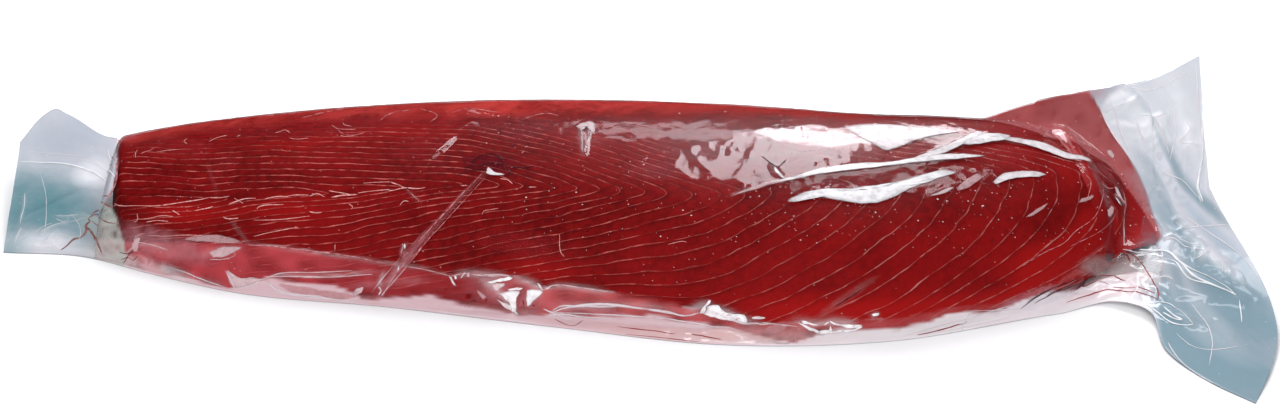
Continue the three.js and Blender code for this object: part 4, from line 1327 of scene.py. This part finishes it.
def build_pool():
    """The juice that fills the wedge between the thick end, the two sheets and its own edge."""
    share = np.linspace(0.10, 0.998, POOL_ACROSS + 1)
    wavy = np.stack((share * 90, share * 0, share * 0), -1)
    edge = through(POOL_EDGE, 1, share) + 0.8 * cloud(wavy, size=9, seed=61)
    t = np.linspace(0, 1, POOL_STEPS + 1)[:, None]
    along = mix(np.full_like(share, POOL_FROM), edge, t)
    share = np.repeat(share[None, :], POOL_STEPS + 1, 0)
    x, y, top, under = film_at(along, share)
    flesh = flesh_height(x, y)
    gap = top - flesh
    top = top - (FILM - THIN) * (1 - ease(*OVER_FLESH, flesh))
    thin = 1 - np.clip((edge - along) / 3, 0, 1) ** 0.5
    room = np.maximum(top - under - 0.55, 0.08)
    high = under + 0.1 + room - np.minimum(0.6 * room, 1.2) * thin
    high = mix(np.minimum(flesh - 0.3, high), high, ease(1.65, 3.4, gap))
    low = np.maximum(under + 0.05, np.minimum(flesh - 4, high - 0.1))
    high = np.maximum(high, low + 0.03)
    halves = []
    for height in (high, low):
        half, row, column = add_grid(POOL_STEPS, POOL_ACROSS)
        move_corners(half, np.stack((x, y, height), -1)[row, column])
        paint(half, "depth", np.clip(edge - along, 0, POOL_DEEP)[row, column] / POOL_DEEP)
        halves.append(half)
    rim = (row == 0) | (row == POOL_STEPS) | (column == 0) | (column == POOL_ACROSS)
    piece = join_up(halves)
    bridge(piece, np.concatenate((rim, rim)))
    close_up(piece)
    return piece


DROP_AREAS = (  # [share of the drops, along, share across]
    (0.82, (40, 285), (0.22, 0.82)), (0.18, (-110, 40), (0.2, 0.95)),
)
DROP_SIZES, BUBBLE_SIZES = (0.16, 0.55), (0.22, 0.42)  # smallest and largest radius, mm
DROP_LIFT, DROP_HEIGHT = 0.1, 0.5  # mm above the film, and height as a share of the width
BUBBLE_GAP, BUBBLE_STRAY = 2.6, 0.4  # mm
BUBBLE_ROWS = (  # rows of tiny bubbles: [start, end]
    ((91, 155), (134, 157)),
    ((93, 144), (131, 147)),
    ((97, 136), (132, 137)),
    ((66, 103), (90, 105)),
    ((180, 98), (223, 82)),
)


def build_drops(sheet, count, seed):
    """Small low drops between the film and the flesh, each a flattened ball."""
    rng = np.random.default_rng(seed)
    along, share = np.concatenate([
        (rng.uniform(*alongs, int(part * count)), rng.uniform(*shares, int(part * count)))
        for part, alongs, shares in DROP_AREAS
    ], axis=1)
    row = np.interp(along, sheet.alongs, np.arange(len(sheet.alongs))).astype(int)
    places = np.stack((along, share * sheet.across[row, -1]), 1)
    size = mix(*DROP_SIZES, rng.uniform(0, 1, len(along)) ** 3)
    for start, stop in BUBBLE_ROWS:
        start, stop = np.array(start, float), np.array(stop, float)
        steps = int(np.hypot(*(stop - start)) / BUBBLE_GAP)
        line = mix(start, stop, np.linspace(0, 1, steps)[:, None])
        places = np.concatenate((places, line + rng.uniform(-BUBBLE_STRAY, BUBBLE_STRAY, line.shape)))
        size = np.concatenate((size, rng.uniform(*BUBBLE_SIZES, steps)))
    centre = sheet.at(places[:, 0], places[:, 1], sheet.surface)
    normal = sheet.at(places[:, 0], places[:, 1], sheet.normals)
    clear_selection()
    bpy.ops.mesh.primitive_ico_sphere_add(subdivisions=1, radius=1.0)
    first = bpy.context.object
    ball = corners_of(first)
    made = [first]
    for _ in range(len(size) - 1):
        copy = first.copy()
        copy.data = first.data.copy()
        bpy.context.collection.objects.link(copy)
        made.append(copy)
    for piece, middle, up, radius in zip(made, centre, normal, size):
        up = up / np.linalg.norm(up)
        side = np.cross(up, (0, 1, 0.3))
        side /= np.linalg.norm(side)
        third = np.cross(up, side)
        long = radius * rng.uniform(1.0, 1.6)
        shape = ball[:, :1] * side * long + ball[:, 1:2] * third * radius
        shape += ball[:, 2:] * up * radius * DROP_HEIGHT
        move_corners(piece, middle + up * DROP_LIFT + shape)
    join_up(made)
    close_up(first)
    return first


# ---- finishes ----


class Look:
    """A node material, built one node at a time."""

    def __init__(self, name):
        self.material = bpy.data.materials.new(name)
        self.material.use_nodes = True
        self.tree = self.material.node_tree
        self.tree.nodes.clear()

    def add(self, kind, settings=None, **inputs):
        """Adds a node; its inputs are numbers, colours, outputs, or nodes for their first output."""
        node = self.tree.nodes.new("ShaderNode" + kind)
        for name, value in (settings or {}).items():
            setattr(node, name, value)
        for name, value in inputs.items():
            self.put(node, name, value)
        return node

    def put(self, node, name, value):
        """Links or sets one input, found by its number, its number as _0, or its name."""
        if isinstance(name, str):
            name = int(name[1:]) if name[1:].isdigit() else name.replace("_", " ")
        socket = node.inputs[name]
        if isinstance(value, bpy.types.Node):
            value = value.outputs[0]
        if isinstance(value, bpy.types.NodeSocket):
            self.tree.links.new(value, socket)
        elif socket.type == "RGBA" and len(value) == 3:
            socket.default_value = (*value, 1.0)
        else:
            socket.default_value = value

    def layer(self, name, output="Fac"):
        """What a piece keeps at its vertices under a name."""
        return self.add("Attribute", {"attribute_name": name}).outputs[output]

    def math(self, operation, *values):
        """The result of one operation on numbers."""
        node = self.add("Math", {"operation": operation})
        for number, value in enumerate(values):
            self.put(node, number, value)
        return node.outputs[0]

    def blend(self, share, first, second, kind="MIX"):
        """A share of the way from one colour to another."""
        node = self.add("Mix", {"data_type": "RGBA", "blend_type": kind, "clamp_factor": True})
        for number, value in ((0, share), (6, first), (7, second)):
            self.put(node, number, value)
        return node.outputs[2]

    def dimmed(self, colour, share):
        """A colour as bright as a share of itself."""
        grey = self.add("CombineColor", _0=share, _1=share, _2=share).outputs[0]
        return self.blend(1.0, colour, grey, "MULTIPLY")

    def band(self, value, low, high, to_low=0.0, to_high=1.0):
        """Turns values from low to high into others, eased at both ends."""
        node = self.add("MapRange", {"interpolation_type": "SMOOTHSTEP"})
        for number, entry in enumerate((value, low, high, to_low, to_high)):
            self.put(node, number, entry)
        return node.outputs[0]

    def noise(self, scale, detail=2.0, roughness=0.5):
        """Smooth noise fixed to the piece, with about scale bumps to the metre."""
        place = self.add("TexCoord").outputs["Object"]
        node = self.add("TexNoise", Vector=place, Scale=scale, Detail=detail, Roughness=roughness)
        return node.outputs[0]

    def sheen(self, normal):
        """How much a clear surface mirrors, 4% face on and all edge on, the same on both sides."""
        facing = self.add("LayerWeight", Blend=0.5)
        if normal:
            self.put(facing, "Normal", normal)
        steep = self.math("POWER", facing.outputs["Facing"], 5.0)
        return self.math("MULTIPLY_ADD", steep, 1 - FACE_ON, FACE_ON)

    def out(self, shader):
        """Ends the look with its shader, and gives its material."""
        self.add("OutputMaterial", Surface=shader)
        return self.material


FACE_ON = 0.04  # how much a clear surface mirrors face on
PALE_LINE = (0.85, 0.50, 0.46)  # the flesh's lines at the thick end
CLEAR_FILM, FILM_SPECK, GLOSS = (0.985, 0.99, 0.992), (0.9, 0.8, 0.8), (1, 1, 1)
# white painted on the doubled folds as glints
FOLD_GLINT_DIM, FOLD_GLINT_WHITE = (0.80, 0.82, 0.86), (0.95, 0.95, 0.97)
# colours of the painted highlights
HIGHLIGHT_PINK, HIGHLIGHT_DIM, HIGHLIGHT_WHITE = (0.62, 0.20, 0.22), (0.84, 0.80, 0.83), (0.98, 0.96, 0.98)
# colours of the painted glint lines on the folds
GLINT_LINE_RED, GLINT_LINE_PINK, GLINT_LINE_WHITE = (0.45, 0.07, 0.08), (0.74, 0.36, 0.38), (0.90, 0.84, 0.88)
# clear drops, and the pale paint that stands for their glints
CLEAR_DROP, DROP_GLINT_PAINT = (0.78, 0.62, 0.64), (0.92, 0.72, 0.70)
# black painted as shade in the creases, and the floor's faint clouding
CREASE_SHADE_BLACK, FLOOR_CLOUD = (0.02, 0.02, 0.02), (0.8, 0.8, 0.82)


def flesh_look(colours):
    """Wet red flesh with its pale lines between the flakes."""
    look = Look("wet_red_flesh")
    turn = look.math("FRACT", look.layer("flake"))
    off = look.math("SUBTRACT", 0.5, look.math("ABSOLUTE", look.math("SUBTRACT", turn, 0.5)))
    away = look.math("MULTIPLY", off, look.layer("flake_width"))
    patchy = look.noise(90, 3, 0.6)
    line_width = look.band(patchy, 0.35, 0.7, 0.0002, 0.0006)
    line = look.band(away, look.math("MULTIPLY", line_width, 0.35), line_width, 1.0, 0.0)
    line = look.math("MULTIPLY", line, look.band(look.noise(160, 2, 0.5), 0.34, 0.62, 0.15, 1.0))
    line = look.math("MULTIPLY", line, look.band(look.noise(38, 2, 0.5), 0.36, 0.6, 0.4, 1.25))
    line = look.math("MULTIPLY", line, look.layer("line"))
    broad = look.band(look.noise(14, 3, 0.55), 0.3, 0.7)
    mottled = look.band(look.noise(220, 4, 0.6), 0.3, 0.7)
    base = look.blend(broad, colours.deep, colours.flesh)
    tone = look.layer("tone")
    base = look.blend(look.band(tone, -1.0, 0.1, 0.85, 0.0), base, colours.deep)
    base = look.blend(look.band(tone, 0.0, 1.0), base, colours.bright)
    base = look.blend(look.math("MULTIPLY", mottled, 0.35), base, colours.bright)
    place = look.add("SeparateXYZ", _0=look.add("TexCoord").outputs["Object"])
    shade = look.band(turn, 0.0, 0.4, look.band(place, 0.0, 0.16, 0.74, 0.9), 1.05)
    base = look.dimmed(base, shade)
    line_colour = look.blend(look.band(place, 0.02, 0.16, 0.0, 0.7), colours.line, PALE_LINE)
    base = look.blend(line, base, line_colour)
    height = look.math("SUBTRACT", mottled, line)
    bump = look.add("Bump", Strength=0.15, Distance=0.0006, Height=height)
    shader = look.add("BsdfPrincipled", Base_Color=base, Roughness=0.42, Normal=bump,
                      Specular_IOR_Level=0.12)
    return look.out(shader)


def film_look():
    """Clear film, hazed by its own tint, with small specks."""
    look = Look("clear_bag_film")
    tint = look.layer("tint", "Color")
    cover = look.layer("tint", "Alpha")
    fine = look.noise(260, 3, 0.6)
    bump = look.add("Bump", Strength=0.12, Distance=0.0004, Height=fine)
    place = look.add("TexCoord").outputs["Object"]
    specks = look.add("TexVoronoi", Vector=place, Scale=560.0)
    chance = look.add("SeparateColor", _0=specks.outputs["Color"])
    chosen = look.math("GREATER_THAN", chance, 0.965)
    speck = look.math("MULTIPLY", look.band(specks.outputs["Distance"], 0.1, 0.22, 0.7, 0.0), chosen)
    cover = look.math("MAXIMUM", cover, speck)
    tint = look.blend(speck, tint, FILM_SPECK)
    haze = look.add("BsdfDiffuse", Color=tint)
    clear = look.add("BsdfTransparent", Color=CLEAR_FILM)
    body = look.add("MixShader", _0=cover, _1=clear, _2=haze)
    gloss = look.add("BsdfAnisotropic", Color=GLOSS, Roughness=0.08, Normal=bump)
    shader = look.add("MixShader", _0=look.sheen(bump), _1=body, _2=gloss)
    return look.out(shader)


def tissue_look(colours):
    """Thick pale tissue."""
    look = Look("pale_tissue")
    mottled = look.band(look.noise(500, 3, 0.6), 0.3, 0.7)
    base = look.blend(mottled, colours.tissue, colours.line)
    shader = look.add("BsdfPrincipled", Base_Color=base, Roughness=0.5)
    return look.out(shader)


def pool_look(colours):
    """Red juice with a dark edge."""
    look = Look("trapped_red_juice")
    depth = look.layer("depth")
    cloudy = look.band(look.noise(26, 4, 0.6), 0.35, 0.7)
    base = look.blend(cloudy, colours.juice, colours.thin)
    base = look.blend(look.band(depth, 0.0, 0.05, 1.0, 0.0), base, colours.edge)
    bump = look.add("Bump", Strength=0.2, Distance=0.001, Height=cloudy)
    shader = look.add("BsdfPrincipled", Base_Color=base, Roughness=0.3, Normal=bump,
                      Specular_IOR_Level=0.3)
    return look.out(shader)


def streak_look(name, deep, thin):
    """A thin run of juice, or the painted shade in a crease."""
    look = Look(name)
    patchy = look.band(look.noise(300, 3, 0.6), 0.35, 0.65)
    base = look.blend(patchy, deep, thin)
    shader = look.add("BsdfPrincipled", Base_Color=base, Roughness=0.25, Alpha=0.85)
    return look.out(shader)


def fold_glint_look():
    """Film doubled on itself, painted white as a glint."""
    look = Look("doubled_film_glint")
    patchy = look.band(look.noise(220, 2, 0.5), 0.3, 0.7)
    base = look.blend(patchy, FOLD_GLINT_DIM, FOLD_GLINT_WHITE)
    shader = look.add("BsdfPrincipled", Base_Color=base, Roughness=0.15, Alpha=0.8)
    return look.out(shader)


def highlight_look():
    """A painted highlight, pinker where it is less pale."""
    look = Look("painted_highlights")
    patchy = look.band(look.noise(260, 2, 0.5), 0.3, 0.7)
    white = look.blend(patchy, HIGHLIGHT_DIM, HIGHLIGHT_WHITE)
    base = look.blend(look.layer("pale"), HIGHLIGHT_PINK, white)
    base = look.dimmed(base, look.layer("shade"))
    solid = look.band(look.layer("pale"), 0.2, 1.0, 0.45, 0.97)
    alpha = look.math("MULTIPLY", look.layer("fade"), solid)
    alpha = look.math("MULTIPLY", alpha, look.band(look.noise(150, 3, 0.6), 0.32, 0.55, 0.7, 1.0))
    shader = look.add("BsdfPrincipled", Base_Color=base, Roughness=0.2, Alpha=alpha)
    return look.out(shader)


def glint_line_look():
    """A painted glint line on a fold, pinker over the flesh."""
    look = Look("glint_line_paint")
    patchy = look.band(look.noise(260, 2, 0.5), 0.35, 0.65)
    over = look.blend(patchy, GLINT_LINE_RED, GLINT_LINE_PINK)
    base = look.blend(look.layer("pale"), over, GLINT_LINE_WHITE)
    shader = look.add("BsdfPrincipled", Base_Color=base, Roughness=0.2, Alpha=0.6)
    return look.out(shader)


def drop_look():
    """Clear drops, some of them painted pale as glints."""
    look = Look("clear_drops")
    clear = look.add("BsdfTransparent", Color=CLEAR_DROP)
    gloss = look.add("BsdfAnisotropic", Color=GLOSS, Roughness=0.05)
    patchy = look.band(look.noise(200, 1), 0.3, 0.7, 0.02, 0.1)
    share = look.math("ADD", look.sheen(None), patchy)
    wet = look.add("MixShader", _0=share, _1=clear, _2=gloss)
    glint_paint = look.add("BsdfDiffuse", Color=DROP_GLINT_PAINT)
    share = look.band(look.noise(150, 1), 0.48, 0.56, 0.0, 0.75)
    shader = look.add("MixShader", _0=share, _1=wet, _2=glint_paint)
    return look.out(shader)


def floor_look(colour):
    """A pale floor."""
    look = Look("pale_floor")
    base = look.blend(look.math("MULTIPLY", look.noise(3, 2), 0.06), colour, FLOOR_CLOUD)
    return look.out(look.add("BsdfPrincipled", Base_Color=base, Roughness=0.7))


# ---- settings ----


def colour_setting(name, description, default):
    """A colour that a user may change."""
    return FloatVectorProperty(name=name, description=description, default=default,
                               size=3, min=0, max=1, subtype="COLOR")


class FleshSettings(bpy.types.PropertyGroup):
    """Sizes and colours of the loin."""

    rings: IntProperty(name="Rings", description="Rings of faces along the loin",
                       default=420, min=60, max=470)
    around: IntProperty(name="Around", description="Faces round the loin",
                        default=200, min=40, max=210)
    gap: FloatProperty(name="Gap", description="Room between the flesh and the film",
                       default=0.0006, min=0.0, max=0.003, unit="LENGTH", subtype="DISTANCE")
    flesh: colour_setting("Flesh", "Colour of the flesh", (0.200, 0.0032, 0.0040))
    deep: colour_setting("Deep", "Colour of the darkest flesh", (0.09, 0.0014, 0.0022))
    bright: colour_setting("Bright", "Colour of the brightest flesh", (0.31, 0.0048, 0.0046))
    line: colour_setting("Line", "Colour of the thin lines between flakes", (0.64, 0.155, 0.135))
    tissue: colour_setting("Tissue", "Colour of the thick pale tissue", (0.80, 0.47, 0.45))


class JuiceSettings(bpy.types.PropertyGroup):
    """Colours of the juice, and its drops."""

    juice: colour_setting("Juice", "Colour of deep juice", (0.23, 0.005, 0.006))
    thin: colour_setting("Thin", "Colour of thin juice", (0.33, 0.010, 0.012))
    edge: colour_setting("Edge", "Colour of the juice's dark edge", (0.05, 0.003, 0.01))
    dried: colour_setting("Dried", "Colour of dried juice", (0.22, 0.07, 0.06))
    faint: colour_setting("Faint", "Colour of faint dried juice", (0.36, 0.18, 0.16))
    drops: IntProperty(name="Drops", description="Number of small drops under the film",
                       default=1150, min=1, max=1200)


KEY_POWER = 60.0


class StageSettings(bpy.types.PropertyGroup):
    """The floor, the lights and the camera."""

    floor: colour_setting("Floor", "Colour of the floor", (0.88, 0.88, 0.89))
    key: FloatProperty(name="Key", description="Strength of the soft lights",
                       default=KEY_POWER, min=0.0, unit="POWER")


class TUNA_OT_flesh(bpy.types.Operator):
    """Add the loin of raw tuna"""

    bl_idname = "tuna.add_flesh"
    bl_label = "Tuna Loin"

    def execute(self, context):
        settings = context.scene.tuna_flesh
        finish_piece(build_flesh(settings), "tuna_loin", flesh_look(settings))
        return {"FINISHED"}


class TUNA_OT_film(bpy.types.Operator):
    """Add the clear bag drawn tight over the loin"""

    bl_idname = "tuna.add_film"
    bl_label = "Vacuum Film"

    def execute(self, context):
        finish_piece(build_film(make_sheet()), "vacuum_film", film_look())
        return {"FINISHED"}


class TUNA_OT_tissue(bpy.types.Operator):
    """Add the thick pale tissue that lies on the flesh"""

    bl_idname = "tuna.add_tissue"
    bl_label = "Pale Tissue"

    def execute(self, context):
        sheet = make_sheet()
        piece = add_strips(sheet, TISSUES, 0.5, lift=-0.5, flatness=0.3, seed=11, grid=sheet.points)
        finish_piece(piece, "pale_tissue", tissue_look(context.scene.tuna_flesh))
        return {"FINISHED"}


class TUNA_OT_juice(bpy.types.Operator):
    """Add the juice trapped at the thick end and its runs at both ends"""

    bl_idname = "tuna.add_juice"
    bl_label = "Juice"

    def execute(self, context):
        colours = context.scene.tuna_juice
        sheet = make_sheet()
        finish_piece(build_pool(), "trapped_juice", pool_look(colours))
        piece = add_strips(sheet, STREAKS, 0.3, lift=0.1, flatness=0.3, seed=12)
        look = streak_look("thin_juice", colours.juice, colours.thin)
        finish_piece(piece, "juice_runs", look)
        piece = add_strips(sheet, BROWNS, 0.5, lift=0.1, flatness=0.3, seed=16)
        look = streak_look("dried_juice", colours.dried, colours.faint)
        finish_piece(piece, "dried_runs", look)
        piece = add_strips(sheet, CREASE_SHADES, 0.5, lift=0.3, flatness=0.4, seed=13)
        look = streak_look("dark_crease", CREASE_SHADE_BLACK, colours.edge)
        finish_piece(piece, "dark_creases", look)
        return {"FINISHED"}


class TUNA_OT_pinches(bpy.types.Operator):
    """Add the bag's doubled folds, the painted highlights, and the glint lines painted on its folds"""

    bl_idname = "tuna.add_pinches"
    bl_label = "Folds and Painted Highlights"

    def execute(self, context):
        sheet = make_sheet()
        piece = add_strips(sheet, DOUBLED_FOLD_GLINTS, 0.5, lift=0.3, flatness=0.35, seed=14)
        finish_piece(piece, "doubled_fold_glints", fold_glint_look())
        finish_piece(add_highlight_lenses(sheet, PAINTED_HIGHLIGHTS), "painted_highlights", highlight_look())
        piece = add_strips(sheet, GLINT_LINES, 0.75, lift=0.2, flatness=0.5, seed=17)
        finish_piece(piece, "painted_glint_lines", glint_line_look())
        return {"FINISHED"}


class TUNA_OT_drops(bpy.types.Operator):
    """Add the small drops under the film"""

    bl_idname = "tuna.add_drops"
    bl_label = "Drops"

    def execute(self, context):
        piece = build_drops(make_sheet(), context.scene.tuna_juice.drops, seed=15)
        finish_piece(piece, "juice_drops", drop_look())
        return {"FINISHED"}


class TUNA_OT_stage(bpy.types.Operator):
    """Add the floor, the soft lights and the camera"""

    bl_idname = "tuna.add_stage"
    bl_label = "Stage"

    def execute(self, context):
        settings = context.scene.tuna_stage
        clear_selection()
        bpy.ops.mesh.primitive_plane_add(size=FLOOR_SIZE)
        floor = bpy.context.object
        floor.name = "floor"
        floor.data.materials.append(floor_look(settings.floor))
        floor.visible_glossy = False
        add_lights(settings)
        add_camera()
        return {"FINISHED"}


FLOOR_SIZE = 8
CAMERA_PLACE = (0.0, -1450.0, 790.0)
CAMERA_TILT = 62.9  # degrees up from straight down
CAMERA_LENS, CAMERA_SENSOR = 75.68, 36  # mm
ROOM_COLOUR, ROOM_STRENGTH = (0.95, 0.97, 1.0, 1), 0.42
LIGHTS = (  # [name, place, aimed at, turn, size x, size y, power, colour]
    ("low_softbox", (252, 700, 488), (150, 20, 60), 42, 360, 125, 0.95, (0.94, 0.96, 1)),
    ("tall_softbox", (150, 700, 900), (120, 20, 60), -12, 200, 720, 3.8, (0.93, 0.95, 1)),
    ("dim_panel", (-10, 700, 600), (-20, 20, 60), 0, 210, 120, 0.24, (0.97, 0.95, 1)),
    ("high_strip", (534, 611, 1500), (534, 611, 0), 36, 900, 190, 2.5, (0.97, 0.97, 1)),
    ("front_panel", (0, -1500, 1100), (0, -100, 20), 0, 1700, 420, 11, (1, 1, 1)),
    ("front_fill", (-500, -1300, 1900), (0, 0, 0), 0, 1400, 1400, 24, (1, 1, 1)),
    ("back_fill", (-200, 1500, 1500), (0, 100, 0), 0, 1600, 900, 19, (1, 1, 1)),
)
# the lights whose shape shows in glossy surfaces
MIRRORED = ("low_softbox", "tall_softbox", "dim_panel", "high_strip")


def add_lights(settings):
    """Adds the soft lights and the pale room."""
    for name, place, aim, turn, width, depth, power, colour in LIGHTS:
        place = Vector((np.array(place) + OFFSET) * MM)
        aim = Vector((np.array(aim) + OFFSET) * MM)
        bpy.ops.object.light_add(type="AREA", location=place)
        lamp = bpy.context.object
        lamp.name = name
        facing = (aim - place).to_track_quat("-Z", "Y") @ Quaternion((0, 0, 1), math.radians(turn))
        lamp.rotation_euler = facing.to_euler()
        lamp.data.shape = "RECTANGLE"
        lamp.data.size, lamp.data.size_y = width * MM, depth * MM
        lamp.data.energy = power * settings.key / KEY_POWER
        lamp.data.color = colour
        lamp.visible_glossy = name in MIRRORED
    world = bpy.data.worlds.new("soft_room")
    bpy.context.scene.world = world
    world.use_nodes = True
    room = world.node_tree.nodes["Background"]
    room.inputs["Color"].default_value = ROOM_COLOUR
    room.inputs["Strength"].default_value = ROOM_STRENGTH
    world.cycles_visibility.glossy = False


def add_camera():
    """Adds the camera, level across and tilted down at the loin."""
    bpy.ops.object.camera_add(
        location=(np.array(CAMERA_PLACE) + OFFSET) * MM,
        rotation=(math.radians(CAMERA_TILT), 0, 0),
    )
    camera = bpy.context.object
    camera.data.lens = CAMERA_LENS
    camera.data.sensor_width = CAMERA_SENSOR
    scene = bpy.context.scene
    scene.camera = camera
    scene.view_settings.view_transform = "Standard"
    scene.view_settings.look = "None"


class TUNA_PT_panel(bpy.types.Panel):
    """Lists the loin's pieces"""

    bl_idname = "TUNA_PT_panel"
    bl_label = "Tuna Loin"
    bl_space_type = "VIEW_3D"
    bl_region_type = "UI"
    bl_category = "Tuna Loin"

    def draw(self, context):
        for operator in PIECES:
            self.layout.operator(operator.bl_idname)


PIECES = (
    TUNA_OT_flesh, TUNA_OT_tissue, TUNA_OT_juice, TUNA_OT_film, TUNA_OT_pinches, TUNA_OT_drops,
    TUNA_OT_stage,
)
SETTINGS = {"tuna_flesh": FleshSettings, "tuna_juice": JuiceSettings, "tuna_stage": StageSettings}


def register():
    """Adds the classes and the settings."""
    for entry in (*SETTINGS.values(), *PIECES, TUNA_PT_panel):
        bpy.utils.register_class(entry)
    for name, group in SETTINGS.items():
        setattr(bpy.types.Scene, name, PointerProperty(type=group))


def unregister():
    """Takes the classes and the settings away again."""
    for name in SETTINGS:
        delattr(bpy.types.Scene, name)
    for entry in (TUNA_PT_panel, *reversed(PIECES), *reversed(list(SETTINGS.values()))):
        bpy.utils.unregister_class(entry)


def main():
    """Builds every piece and the stage."""
    register()
    for operator in PIECES:
        group, action = operator.bl_idname.split(".")
        getattr(getattr(bpy.ops, group), action)()


if __name__ == "__main__":
    main()
